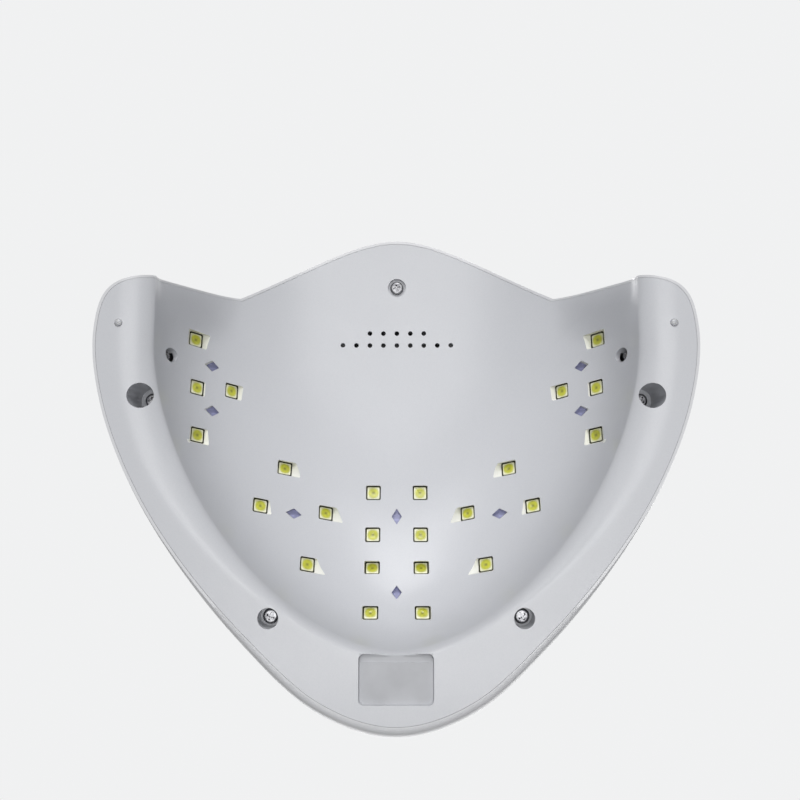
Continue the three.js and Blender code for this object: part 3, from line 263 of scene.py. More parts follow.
def walked(path, count, turn_weight):
    """A path walked again in even steps of length and turn"""
    steps = np.diff(path, axis=0)
    lengths = np.hypot(*steps.T)
    kept = lengths > SHORTEST_STEP
    path = np.vstack([path[:1], path[1:][kept]])
    steps, lengths = steps[kept], lengths[kept]
    headings = np.unwrap(np.arctan2(steps[:, 1], steps[:, 0]))
    turns = np.abs(np.diff(headings, prepend=headings[0]))
    way = np.concatenate([[0], np.cumsum(lengths + turn_weight * turns)])
    stations = np.linspace(0, way[-1], count)
    return np.column_stack([np.interp(stations, way, path[:, 0]), np.interp(stations, way, path[:, 1])])


def loft(name, columns, low, high):
    """Closed skin over one column of (distance, height, share, base, crown) points per angle"""
    count, rows = columns.shape[:2]
    rule = np.vstack([columns[..., 2:].reshape(-1, 3), [(-1, 0, 0)] * 2])
    x, y = plan_point(ANGLES[:, None], columns[..., 0])
    points = np.stack([x, y, columns[..., 1]], axis=-1).reshape(-1, 3)
    points = np.vstack([points, [0, HUB_Y, low], [0, HUB_Y, high]])
    first = np.arange(count) * rows
    after = np.roll(first, -1)
    faces = [(a + j, b + j, b + j + 1, a + j + 1) for a, b in zip(first, after) for j in range(rows - 1)]
    faces += [(count * rows, b, a) for a, b in zip(first, after)]
    faces += [(a + rows - 1, b + rows - 1, count * rows + 1) for a, b in zip(first, after)]
    piece = mesh_piece(name, points, faces)
    for label, values in zip(("share", "base", "crown"), rule.T):
        mark_points(piece, label, values if label == "share" else values * MM)
    return piece


def dome_form(name, inset, floor=0.0, rows=CUTTER_ROWS):
    """Solid dome, drawn in by the inset; its floor can be let down under the table"""
    columns = []
    for angle, outline in zip(ANGLES, OUTLINE):
        path, shoulder, dome = dome_path(angle, outline - SKIN_INSET, inset)
        path = walked(path, rows + 1, DOME_TURN)[:-1]
        on_cap = (path[:, 0] < shoulder) & (path[:, 1] > BELT_HEIGHT)
        share = np.where(on_cap, path[:, 0] / dome, -1)
        low, high = np.full(rows, BELT_HEIGHT), np.full(rows, HEIGHT - inset)
        column = np.column_stack([path, share, low, high])
        columns.append(np.vstack([[path[0, 0], floor, -1, 0, 0], column]) if floor < 0 else column)
    form = loft(name, np.array(columns), floor, HEIGHT - inset)
    return run_tree(form, rise_tree(), Roundness=sizes().dome_roundness)


# Reflector bowl

def land_z(y):
    """Height of the flange, which rises from the table at the rear to the nubs' height at the front"""
    start = LAND_SHARE * HALF_LENGTH
    share = np.clip((start - y) / (2 * start), 0, 1)
    return NUB_HEIGHT * share * share * (3 - 2 * share)


def ceiling_z(y):
    """Height of the bowl's ceiling, which falls to the visor's lip at the front"""
    ceiling = fan_low.z - GAP - sizes().liner_wall / MM
    lip = float(dome_z(0, -HALF_LENGTH)) - VISOR_THICKNESS
    share = np.clip((LIP_START - y) / (LIP_START + HALF_LENGTH), 0, 1)
    return ceiling - (ceiling - lip) * share ** 2


def mouth_share(x, y, offset=0.0):
    across = np.abs(x) / (BOWL_HALF + offset)
    along = np.maximum(0, y - BOWL_FRONT) / (BOWL_LENGTH + offset)
    return (across ** MOUTH_POWER + along ** MOUTH_POWER) ** (1 / MOUTH_POWER)


def front_ease(share, y):
    """How far the wall is let down towards the front edge, where its foot flares into the ear"""
    inward = np.clip((1 - share) * BOWL_HALF / EASE_WIDTH, 0, 1)
    near = np.clip((EASE_START - y) / (EASE_START - FOOT_Y), 0, 1)
    return FRONT_EASE * inward ** EASE_POWER * (1 - inward) ** 2 * near ** 2 * (3 - 2 * near)


def bowl_z(x, y, offset=0.0, spread=0.0):
    """Height of the bowl's surface; the spread widens the rounding from its wall to the flange"""
    share = mouth_share(x, y, offset)
    land, radius = land_z(y) + offset, MOUTH_RADIUS - offset
    rise = superellipse(share, sizes().bowl_roundness)
    inside = land + radius + (ceiling_z(y) + offset - radius - land) * rise
    out = np.clip((share - 1) * (BOWL_HALF + offset) * radius / (radius + spread), 0, radius)
    outside = land + radius - np.sqrt(np.maximum(0, radius ** 2 - (radius - out) ** 2))
    return np.where(share < 1, inside, outside)


def bowl_form(name, offset, margin):
    """Solid that fills the bowl, or the liner's outside when it has an offset"""
    ends = OUTLINE + margin
    mouths = np.minimum(reach_where(lambda x, y: mouth_share(x, y, offset) < 1, ANGLES), ends - RIM_STRIP)
    radius = MOUTH_RADIUS - offset

    def stretch(angle, reach, rows, spread):
        x, y = plan_point(angle, reach)
        height = bowl_z(x, y, offset, spread) - front_ease(mouth_share(x, y, offset), y)
        return walked(np.column_stack([reach, height]), rows + 1, BOWL_TURN)[:-1]

    columns = []
    for angle, mouth, end in zip(ANGLES, mouths, ends):
        spread = float(np.interp(HUB_Y + mouth * math.cos(angle), SPREAD_PLACES, SPREAD_WIDTHS))
        brim = min(end, mouth + radius + spread)
        rounding = mouth + (brim - mouth) * (1 - np.sin(np.linspace(0, math.pi / 2, ROUNDING_STEPS)))
        flange = np.concatenate([np.linspace(end, brim, FOOT_STEPS), rounding])
        wall = mouth * np.cos(np.linspace(0, math.pi / 2, WALL_STEPS)) ** (2 / sizes().bowl_roundness)
        path = np.vstack([stretch(angle, flange, BRIM_ROWS, spread),
                          stretch(angle, wall, BOWL_ROWS, spread)])
        x, y = plan_point(angle, path[:, 0])
        share = mouth_share(x, y, offset)
        rise = superellipse(share, sizes().bowl_roundness)
        base = land_z(y) + offset + radius - front_ease(share, y) / np.maximum(1 - rise, SLIVER)
        share = np.where(share < 1, share, -1)
        columns.append(np.vstack([[end, -OVERRUN, -1, 0, 0], np.column_stack(
            [path, share, base, ceiling_z(y) + offset])]))
    form = loft(name, np.array(columns), -OVERRUN, float(bowl_z(0, HUB_Y, offset)))
    return run_tree(form, rise_tree(), Roundness=sizes().bowl_roundness)


def bowl_place(share):
    """Place at shares of the bowl's half width and of its length"""
    return share[0] * BOWL_HALF, BOWL_FRONT + share[1] * BOWL_LENGTH


def bowl_point(x, y):
    return Vector((x, y, float(bowl_z(x, y))))


def hand_room():
    """Cutter of the whole room under the bowl"""
    return bowl_form("hand_room", 0, OVERRUN)


def axis_place(origin, normal):
    return Matrix.Translation(origin) @ Vector((0, 0, 1)).rotation_difference(normal).to_matrix().to_4x4()


# Meshes

def linked(name, data):
    """A new object in the scene"""
    item = bpy.data.objects.new(name, data)
    bpy.context.scene.collection.objects.link(item)
    return item


def mesh_piece(name, points, faces, scale=MM):
    mesh = bpy.data.meshes.new(name)
    mesh.from_pydata(np.asarray(points, float) * scale, [], faces)
    mesh.validate()
    return linked(name, mesh)


def mark_points(piece, label, values):
    """Gives each point of a piece a number or a vector under a name, for its tree or its finish"""
    values = np.asarray(values, np.float32)
    kind, key = ("FLOAT", "value") if values.ndim == 1 else ("FLOAT_VECTOR", "vector")
    piece.data.attributes.new(label, kind, "POINT").data.foreach_set(key, values.ravel())


def turned(name, profile, sides=48):
    """Solid turned about the Z axis from (radius, height) points that start and end on the axis"""
    ring = np.arange(sides) * 2 * math.pi / sides
    inner = profile[1:-1]
    points = [(0, 0, profile[0][1])]
    points += [(r * math.cos(a), r * math.sin(a), z) for r, z in inner for a in ring]
    points.append((0, 0, profile[-1][1]))
    top = len(points) - 1
    faces = []
    for i in range(sides):
        j = (i + 1) % sides
        faces.append((0, 1 + j, 1 + i))
        for k in range(len(inner) - 1):
            a, b = 1 + k * sides, 1 + (k + 1) * sides
            faces.append((a + i, a + j, b + j, b + i))
        last = 1 + (len(inner) - 1) * sides
        faces.append((last + i, last + j, top))
    return mesh_piece(name, points, faces)


def arc(centre, radius, start, end, count):
    """Points of (radius, height) on an arc, angles in degrees"""
    turns = np.radians(np.linspace(start, end, count))
    return [(centre[0] + radius * math.cos(t), centre[1] + radius * math.sin(t)) for t in turns]


def rod(name, radius, low, high, sides=48):
    return turned(name, [(0, low), (radius, low), (radius, high), (0, high)], sides)


def rounded_outline(width, length, corner, steps=10):
    points = []
    for quarter in range(4):
        cx = (width / 2 - corner) * (1 if quarter in (0, 3) else -1)
        cy = (length / 2 - corner) * (1 if quarter in (0, 1) else -1)
        for t in np.linspace(quarter, quarter + 1, steps):
            points.append((cx + corner * math.cos(t * math.pi / 2), cy + corner * math.sin(t * math.pi / 2)))
    return points


def layered(name, outlines, heights):
    """Solid between outlines of equal count at rising heights, closed by flat ends"""
    count = len(outlines[0])
    points = [(x, y, z) for outline, z in zip(outlines, heights) for x, y in outline]
    faces = [tuple(range(count))[::-1], tuple(range((len(heights) - 1) * count, len(heights) * count))]
    for k in range(len(heights) - 1):
        for i in range(count):
            j = (i + 1) % count
            faces.append((k * count + i, k * count + j, (k + 1) * count + j, (k + 1) * count + i))
    return mesh_piece(name, points, faces)


def plate(name, width, length, corner, low, high, steps=10):
    outline = rounded_outline(width, length, corner, steps)
    return layered(name, [outline, outline], [low, high])


def place(piece, matrix):
    """Moves a mesh by a matrix in millimetres, into the mesh itself"""
    moved = matrix.copy()
    moved.translation = moved.translation * MM
    piece.data.transform(moved)
    piece.data.update()
    return piece


def plain_mesh(item):
    """What an object's modifiers or text make, as a mesh"""
    bpy.context.view_layer.update()
    return bpy.data.meshes.new_from_object(item.evaluated_get(bpy.context.evaluated_depsgraph_get()))


def plain(piece):
    """Turns what a piece's modifiers make into its own mesh"""
    made = plain_mesh(piece)
    piece.modifiers.clear()
    piece.data = made
    return piece


def combine(body, other, operation):
    """Joins, cuts or trims a body by another, which is used up"""
    modifier = body.modifiers.new(operation, "BOOLEAN")
    modifier.solver = "MANIFOLD"
    modifier.operation = operation
    modifier.object = other
    plain(body)
    if not body.data.polygons:
        raise RuntimeError(f"{body.name}: nothing is left after {operation} with {other.name}")
    bpy.data.objects.remove(other)
    return body


def cut(body, *cutters):
    for cutter in cutters:
        combine(body, cutter, "DIFFERENCE")
    return body


def add(body, *others):
    for other in others:
        combine(body, other, "UNION")
    return body


def smooth(piece, degrees=32):
    piece.data.polygons.foreach_set("use_smooth", [True] * len(piece.data.polygons))
    piece.data.set_sharp_from_angle(angle=math.radians(degrees))
    return piece


def finish_piece(piece, body, nodes, materials=None):
    """Names a finished piece's body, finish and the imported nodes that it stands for"""
    if materials:
        piece.data.materials.clear()
    for material in materials or []:
        piece.data.materials.append(material)
    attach(piece, body)
    if nodes:
        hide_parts(*nodes)


# Geometry Nodes

SOCKET_KINDS = {int: "NodeSocketInt", float: "NodeSocketFloat", type(None): "NodeSocketObject"}


def geometry_tree(name, **defaults):
    """Makes a function that fills a new tree into one that gives the finished tree, built once"""
    def built_once(fill):
        return lambda: bpy.data.node_groups.get(name) or finished_tree(name, defaults, fill)

    return built_once


def finished_tree(name, defaults, fill):
    """A tree with its named inputs, whose result is made real and painted at its end"""
    tree = bpy.data.node_groups.new(name, "GeometryNodeTree")
    inputs = {key: (SOCKET_KINDS[type(value)], value) for key, value in defaults.items()}
    inputs = {"Geometry": ("NodeSocketGeometry", None), **inputs, "Finish": ("NodeSocketMaterial", None)}
    for label, (kind, default) in inputs.items():
        socket = tree.interface.new_socket(label, in_out="INPUT", socket_type=kind)
        if default is not None:
            socket.default_value = default
    tree.interface.new_socket("Geometry", in_out="OUTPUT", socket_type="NodeSocketGeometry")
    given = tree.nodes.new("NodeGroupInput").outputs
    real = node_in(tree, "GeometryNodeRealizeInstances", {"Geometry": fill(tree, given)})
    painted = node_in(tree, "GeometryNodeSetMaterial", {
        "Geometry": real.outputs[0], "Material": given["Finish"]})
    tree.links.new(painted.outputs[0], tree.nodes.new("NodeGroupOutput").inputs[0])
    return tree


def node_in(tree, kind, links=(), **values):
    """Adds a node, sets its own values, and links or sets its inputs by name or number"""
    node = tree.nodes.new(kind)
    for key, value in values.items():
        setattr(node, key, value)
    for key, source in dict(links).items():
        socket = node.inputs[key]
        if isinstance(source, bpy.types.NodeSocket):
            tree.links.new(source, socket)
        else:
            socket.default_value = source
    return node


def maths(tree, operation, first, second):
    return node_in(tree, "ShaderNodeMath", {0: first, 1: second}, operation=operation).outputs[0]


def vector(tree, **parts):
    return node_in(tree, "ShaderNodeCombineXYZ", parts).outputs[0]


def turn_by(tree, **angles):
    return node_in(tree, "FunctionNodeEulerToRotation", {0: vector(tree, **angles)}).outputs[0]


def point_values(tree, label, kind="FLOAT"):
    node = node_in(tree, "GeometryNodeInputNamedAttribute", {"Name": label}, data_type=kind)
    return node.outputs["Attribute"]


def place_parts(tree):
    """The three parts of a point's place"""
    place_of = node_in(tree, "GeometryNodeInputPosition")
    return node_in(tree, "ShaderNodeSeparateXYZ", {0: place_of.outputs[0]}).outputs


def closed_block(tree, face, push):
    """A face pushed out to a block, with the face turned over beneath it and the joint welded"""
    block = node_in(tree, "GeometryNodeExtrudeMesh", {"Mesh": face, "Individual": False, **push})
    beneath = node_in(tree, "GeometryNodeFlipFaces", {"Mesh": face})
    whole = node_in(tree, "GeometryNodeJoinGeometry")
    for part in (block, beneath):
        tree.links.new(part.outputs[0], whole.inputs[0])
    return node_in(tree, "GeometryNodeMergeByDistance", {
        "Geometry": whole.outputs[0], "Distance": 1e-6}).outputs[0]


@geometry_tree("Superellipse rise", Roundness=2.2)
def rise_tree(tree, given):
    """Lifts every point that has a share from its base towards its crown along a superellipse"""
    share, base, crown = (point_values(tree, label) for label in ("share", "base", "crown"))
    power = given["Roundness"]
    x, y, _ = place_parts(tree)
    left = maths(tree, "MAXIMUM", maths(tree, "SUBTRACT", 1.0, maths(tree, "POWER", share, power)), 0.0)
    rise = maths(tree, "POWER", left, maths(tree, "DIVIDE", 1.0, power))
    height = maths(tree, "ADD", base, maths(tree, "MULTIPLY", maths(tree, "SUBTRACT", crown, base), rise))
    return node_in(tree, "GeometryNodeSetPosition", {
        "Geometry": given["Geometry"], "Selection": maths(tree, "GREATER_THAN", share, -0.5),
        "Position": vector(tree, X=x, Y=y, Z=height)}).outputs[0]


@geometry_tree("Repeat on places", Shape=None)
def repeat_tree(tree, given):
    """Sets one shape on every point, turned and sized by the point's own values"""
    shape = node_in(tree, "GeometryNodeObjectInfo", {"Object": given["Shape"], "As Instance": True})
    turn, size = (point_values(tree, label, "FLOAT_VECTOR") for label in ("turn", "size"))
    rotation = node_in(tree, "FunctionNodeEulerToRotation", {0: turn})
    return node_in(tree, "GeometryNodeInstanceOnPoints", {
        "Points": given["Geometry"], "Instance": shape.outputs["Geometry"],
        "Rotation": rotation.outputs[0], "Scale": size}).outputs[0]


@geometry_tree("Row of holes", Count=9, Pitch=0.006, Radius=0.00105, Stretch=0.0, Depth=0.01)
def row_tree(tree, given):
    """A straight row of round or long holes about the middle of the lamp"""
    width = maths(tree, "MULTIPLY", maths(tree, "SUBTRACT", given["Count"], 1.0), given["Pitch"])
    line = node_in(tree, "GeometryNodeMeshLine", {
        "Count": given["Count"], "Start Location": vector(tree, X=maths(tree, "MULTIPLY", width, -0.5)),
        "Offset": vector(tree, X=given["Pitch"])})
    diameter = maths(tree, "MULTIPLY", given["Radius"], 2.0)
    oblong = node_in(tree, "GeometryNodeCurvePrimitiveQuadrilateral", {
        "Width": diameter, "Height": maths(tree, "ADD", diameter, given["Stretch"])})
    corner = maths(tree, "MULTIPLY", given["Radius"], 0.999)
    rounded = node_in(tree, "GeometryNodeFilletCurve", {
        "Curve": oblong.outputs[0], "Count": 8, "Radius": corner}, mode="POLY")
    filled = node_in(tree, "GeometryNodeFillCurve", {"Curve": rounded.outputs[0]}, mode="NGONS")
    hole = closed_block(tree, filled.outputs[0], {"Offset": vector(tree, Z=given["Depth"])})
    return node_in(tree, "GeometryNodeInstanceOnPoints", {
        "Points": line.outputs[0], "Instance": hole}).outputs[0]


@geometry_tree("Fan blades", Count=9, Root=0.0103, Tip=0.023, Chord=0.0086, Thickness=0.001,
               Pitch=0.66, Camber=-0.004, Sweep=0.004)
def blade_tree(tree, given):
    """Blades of a fan about one point: strips bent along and across, pitched and thickened"""
    span = maths(tree, "SUBTRACT", given["Tip"], given["Root"])
    strip = node_in(tree, "GeometryNodeMeshGrid", {
        "Size X": span, "Size Y": given["Chord"], "Vertices X": 14, "Vertices Y": 9})
    x, y, _ = place_parts(tree)
    across = maths(tree, "DIVIDE", y, given["Chord"])
    along = maths(tree, "DIVIDE", x, span)
    camber = maths(tree, "MULTIPLY", maths(tree, "MULTIPLY", across, across), given["Camber"])
    sweep = maths(tree, "MULTIPLY", maths(tree, "MULTIPLY", along, along), given["Sweep"])
    bent = node_in(tree, "GeometryNodeSetPosition", {
        "Geometry": strip.outputs[0], "Offset": vector(tree, Y=sweep, Z=camber)})
    middle = maths(tree, "MULTIPLY", maths(tree, "ADD", given["Tip"], given["Root"]), 0.5)
    pitched = node_in(tree, "GeometryNodeTransform", {
        "Geometry": bent.outputs[0], "Translation": vector(tree, X=middle),
        "Rotation": turn_by(tree, X=given["Pitch"])})
    blade = closed_block(tree, pitched.outputs[0], {"Offset Scale": given["Thickness"]})
    line = node_in(tree, "GeometryNodeMeshLine", {"Count": given["Count"]})
    gathered = node_in(tree, "GeometryNodeSetPosition", {
        "Geometry": line.outputs[0], "Position": (0.0, 0.0, 0.0)})
    index = node_in(tree, "GeometryNodeInputIndex").outputs[0]
    angle = maths(tree, "MULTIPLY", index, maths(tree, "DIVIDE", 2 * math.pi, given["Count"]))
    return node_in(tree, "GeometryNodeInstanceOnPoints", {
        "Points": gathered.outputs[0], "Instance": blade, "Rotation": turn_by(tree, Z=angle)}).outputs[0]


def run_tree(piece, tree, **inputs):
    """Runs a tree on a piece with its inputs set by identifier, and keeps the plain mesh"""
    modifier = piece.modifiers.new(tree.name, "NODES")
    modifier.node_group = tree
    for item in tree.interface.items_tree:
        if item.item_type == "SOCKET" and item.in_out == "INPUT" and item.name in inputs:
            modifier[item.identifier] = inputs[item.name]
    return plain(piece)


def repeated(name, shape, places, scales=None, finish=None):
    """One mesh with a copy of shape at each place, a matrix in millimetres"""
    piece = mesh_piece(name, [place.translation for place in places], [])
    mark_points(piece, "turn", [tuple(place.to_euler()) for place in places])
    mark_points(piece, "size", scales or [(1, 1, 1)] * len(places))
    run_tree(piece, repeat_tree(), Shape=shape, Finish=finish)
    bpy.data.objects.remove(shape)
    return piece


def upright(x, y, z=0.0):
    """Place of a piece that stands unturned"""
    return Matrix.Translation((x, y, z))


def row_of_holes(name, count, pitch, radius, stretch, y, low, high):
    """Cutters of a row of holes; the stretch draws each one out from front to rear"""
    row = mesh_piece(name, [(0, 0, 0)], [])
    run_tree(row, row_tree(), Count=count, Pitch=pitch * MM, Radius=radius * MM,
             Stretch=stretch * MM, Depth=(high - low) * MM)
    return place(row, upright(0, y, low))


# Materials

class Paint:
    """A principled material, and short calls that add its texture nodes"""

    def __init__(self, name, **settings):
        self.material = bpy.data.materials.new(name)
        self.material.use_nodes = True
        self.tree = self.material.node_tree
        self.shader = self.tree.nodes["Principled BSDF"]
        self.place = self.tree.nodes.new("ShaderNodeTexCoord").outputs["Object"]
        for key, value in settings.items():
            self.shader.inputs[key.replace("_", " ")].default_value = value

    def add(self, kind, links=(), **values):
        return node_in(self.tree, kind, links, **values)

    def noise(self, scale, detail, rough):
        return self.add("ShaderNodeTexNoise", {
            "Vector": self.place, "Scale": scale, "Detail": detail, "Roughness": rough}).outputs["Fac"]

    def cells(self, scale):
        return self.add("ShaderNodeTexVoronoi", {"Vector": self.place, "Scale": scale}).outputs

    def ramp(self, factor, low, high, start, end):
        node = self.add("ShaderNodeValToRGB", {"Fac": factor})
        for element, colour, position in zip(node.color_ramp.elements, (low, high), (start, end)):
            element.position, element.color = position, (*colour, 1)
        return node.outputs["Color"]

    def mix(self, factor, first, second, blend="MIX"):
        colours_in = {number: source if isinstance(source, bpy.types.NodeSocket) else (*source, 1)
                      for number, source in ((6, first), (7, second))}
        return self.add("ShaderNodeMix", {"Factor": factor, **colours_in}, data_type="RGBA",
                        blend_type=blend).outputs[2]

    def toned(self, colour, low, high, *noise):
        """A colour that drifts between two shades of itself"""
        return self.mix(self.noise(*noise), shaded(colour, low), shaded(colour, high))

    def spread(self, factor, low, high):
        return self.add("ShaderNodeMapRange", {"Value": factor, "To Min": low, "To Max": high}).outputs[0]

    def surface(self, colour, rough, *noise):
        """Sets the colour, and a roughness that drifts between two values"""
        self.tree.links.new(colour, self.shader.inputs["Base Color"])
        self.tree.links.new(self.spread(self.noise(*noise), *rough), self.shader.inputs["Roughness"])

    def bump(self, height, strength, distance):
        """Adds a relief over those that the material already has"""
        previous = self.shader.inputs["Normal"].links
        node = self.add("ShaderNodeBump", {"Height": height, "Strength": strength, "Distance": distance})
        if previous:
            self.tree.links.new(previous[0].from_socket, node.inputs["Normal"])
        self.tree.links.new(node.outputs["Normal"], self.shader.inputs["Normal"])

    def grained(self, strength, distance, *noise):
        """Adds a fine relief and gives the finished material"""
        self.bump(self.noise(*noise), strength, distance)
        return self.material


def shaded(colour, factor):
    return tuple(min(1.0, c * factor) for c in colour)


def pearl_plastic(name, colour, rough=(0.26, 0.36), coat=0.35, coat_rough=0.12):
    """Moulded plastic with pearl flakes, faint flow marks and a clear top coat"""
    paint = Paint(name, Coat_Weight=coat, Coat_Roughness=coat_rough, Specular_IOR_Level=0.5)
    base = paint.toned(colour, 0.965, 1.03, 14, 3, 0.55)
    flakes = paint.ramp(paint.cells(3200)["Color"], (0.94, 0.945, 0.955), (1, 1, 1), 0.1, 0.75)
    fine = paint.mix(0.55, (1.0, 1.0, 1.0), flakes, "MULTIPLY")
    paint.surface(paint.mix(1.0, base, fine, "MULTIPLY"), rough, 60, 4, 0.6)
    paint.bump(paint.noise(950, 2, 0.5), 0.05, 0.0002)
    return paint.grained(0.06, 0.0006, 120, 2, 0.4)


def moulded_plastic(name, colour, rough=(0.42, 0.58), grain=1600, depth=0.12):
    """Plain plastic with the fine pitted grain of its mould"""
    paint = Paint(name)
    paint.surface(paint.toned(colour, 0.85, 1.2, 90, 3, 0.5), rough, 200, 3, 0.6)
    paint.bump(paint.cells(grain)["Distance"], depth, 0.0001)
    return paint.material


def phosphor_silicone(name, colour):
    """Silicone over phosphor: pale at its edge, darker over the die in its middle"""
    paint = Paint(name, Coat_Weight=0.6, Coat_Roughness=0.08)
    base = paint.ramp(paint.noise(520, 4, 0.6), shaded(colour, 0.8), shaded(colour, 1.15), 0.32, 0.68)
    spot = paint.add("ShaderNodeAttribute", attribute_name="spot").outputs["Vector"]
    reach = paint.add("ShaderNodeVectorMath", {0: spot}, operation="LENGTH").outputs["Value"]
    edge = paint.add("ShaderNodeMapRange", {
        "Value": reach, "From Min": PALE_EDGE[0], "From Max": PALE_EDGE[1]}).outputs[0]
    depth = paint.add("ShaderNodeAttribute", attribute_name="depth").outputs["Fac"]
    rimmed = paint.mix(edge, base, (0.88, 0.88, 0.66))
    paint.surface(paint.mix(depth, rimmed, shaded(colour, 0.45)), (0.28, 0.42), 900, 2, 0.5)
    return paint.grained(0.12, 0.0001, 1400, 3, 0.5)


def zinc_steel(name):
    """Zinc-plated screw steel, turned marks and a little wear"""
    paint = Paint(name, Metallic=1.0, Specular_IOR_Level=0.5)
    tone = paint.ramp(paint.noise(700, 4, 0.6), (0.14, 0.14, 0.15), (0.34, 0.34, 0.35), 0.35, 0.65)
    paint.surface(tone, (0.22, 0.44), 1800, 3, 0.6)
    return paint.grained(0.1, 0.0001, 2600, 2, 0.5)


def coated_board(name, colour):
    """Coated aluminium or fibreglass board with faint copper tracks under the mask"""
    paint = Paint(name, Coat_Weight=0.25, Coat_Roughness=0.15)
    shades = {"Color1": 1.0, "Color2": 1.12, "Mortar": 0.72}
    tracks = paint.add("ShaderNodeTexBrick", {
        "Vector": paint.place, "Scale": 140.0, "Mortar Size": 0.08,
        **{key: (*shaded(colour, shade), 1) for key, shade in shades.items()}}).outputs
    mottle = paint.toned(colour, 0.9, 1.1, 300, 3, 0.5)
    paint.surface(paint.mix(0.45, tracks["Color"], mottle), (0.3, 0.5), 500, 3, 0.5)
    paint.bump(tracks["Fac"], 0.15, 0.0001)
    return paint.material


def smoked_lens(name, colour, rough=(0.05, 0.11)):
    """Glossy smoked lens with faint handling haze"""
    paint = Paint(name, Coat_Weight=1.0, Coat_Roughness=0.03, Specular_IOR_Level=0.5)
    paint.surface(paint.toned(colour, 0.8, 1.35, 25, 3, 0.5), rough, 70, 4, 0.65)
    return paint.grained(0.03, 0.0001, 300, 2, 0.5)


def clear_silicone(name):
    """Translucent silicone of the feet"""
    paint = Paint(name, Subsurface_Weight=0.4, Subsurface_Radius=(0.002, 0.002, 0.0024),
                  Subsurface_Scale=1.0, Transmission_Weight=0.25, Coat_Weight=0.4, Coat_Roughness=0.15)
    milky = paint.mix(paint.noise(900, 3, 0.5), (0.62, 0.63, 0.66), (0.70, 0.71, 0.74))
    paint.surface(milky, (0.3, 0.45), 1200, 3, 0.5)
    return paint.grained(0.08, 0.0001, 1800, 2, 0.5)


def printed_ink(name, colour):
    """Pad-printed ink with slightly broken coverage"""
    paint = Paint(name)
    cover = paint.ramp(paint.noise(2500, 3, 0.6), shaded(colour, 0.75), colour, 0.3, 0.55)
    paint.surface(cover, (0.35, 0.5), 1500, 3, 0.5)
    return paint.material


def wire_bundle(name):
    """Red and black insulated wires, told apart by bands along the bundle"""
    paint = Paint(name)
    split = paint.add("ShaderNodeTexWave", {
        "Vector": paint.place, "Scale": 190.0, "Distortion": 3.0, "Detail": 1.0}).outputs["Fac"]
    bands = paint.ramp(split, (0.02, 0.02, 0.022), (0.5, 0.035, 0.025), 0.45, 0.55)
    paint.surface(bands, (0.4, 0.6), 900, 3, 0.5)
    paint.bump(split, 0.3, 0.0003)
    return paint.material


def paint_nodes(material, slot, *names):
    """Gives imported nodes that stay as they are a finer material"""
    for name in names:
        node = frame["nodes"][name]
        if not node.material_slots:
            node.data.materials.append(None)
        for item in node.material_slots:
            item.material = material


# Places and sizes that several pieces share, in millimetres; the LEDs are at shares of the bowl

SIDE_LEDS = ((0.913, -0.074), (0.881, 0.282), (0.895, 0.107), (0.762, 0.108))
SIDE_RHOMBI = ((0.842, 0.021), (0.832, 0.19))
MID_LEDS = ((0.519, 0.395), (0.396, 0.744), (0.611, 0.534), (0.327, 0.562))
MID_RHOMBI = ((0.467, 0.563),)
FRONT_LEDS = ((-0.109, 0.486), (0.11, 0.642), (0.109, 0.486), (-0.11, 0.642))
REAR_LEDS = ((-0.111, 0.762), (0.114, 0.911), (0.111, 0.762), (-0.114, 0.911))
LED_GROUPS = {
    "right": (SIDE_LEDS, SIDE_RHOMBI, 1),
    "left": (SIDE_LEDS, SIDE_RHOMBI, -1),
    "mid_right": (MID_LEDS, MID_RHOMBI, 1),
    "mid_left": (MID_LEDS, MID_RHOMBI, -1),
    "centre_front": (FRONT_LEDS, ((0.0, 0.575),), 1),
    "centre_rear": (REAR_LEDS, ((0.0, 0.845),), 1),
}
LED_NODES = [f"led_{group}_{i}" for group in LED_GROUPS for i in range(1, 5)]
BOARD_MARGIN, TOLERANCE = 3.2, 0.1
PALE_EDGE = (1.85, 2.75)
CONTACT_X, CONTACT_WIDTH, CONTACT_LENGTH = 0.95, 0.8, 0.5
WINDOW_CLEARANCE, WINDOW_CORNER, WINDOW_FLARE, WINDOW_DEPTH, WINDOW_LAYERS = 0.7, 0.7, 0.03, 14.0, 8
WINDOW_SIGHT = 450.0
SOCKET_ROOM, SOCKET_CORNER, PAD_DEPTH = 0.7, 0.5, 7.3
INNER_SLOPES = {"side": (0.35, 0.0), "mid": (0.75, 0.55), "centre": (WINDOW_FLARE, 0.0)}
RHOMBUS_SIZES = {"side": (3.6, 2.5), "mid": (3.6, 2.5), "centre": (2.2, 3.6)}
RHOMBUS_ROUNDING = 0.1

# Finishes of the reflector's faces after its pearl, which paint light and shade: a lighter reveal in the
# windows as painted light, near-black LED socket walls as painted shade of the gap, a darker matte label
# floor as painted shade; and how far round a form they are painted
LIT_REVEAL, PAINTED_GAP_SHADE, MATTE_SHADED = 1, 2, 3
WINDOW_BORDER, RHOMBUS_BORDER, LABEL_BORDER, LEVEL_LIMIT = 0.06, 1.04, 0.4, 0.9

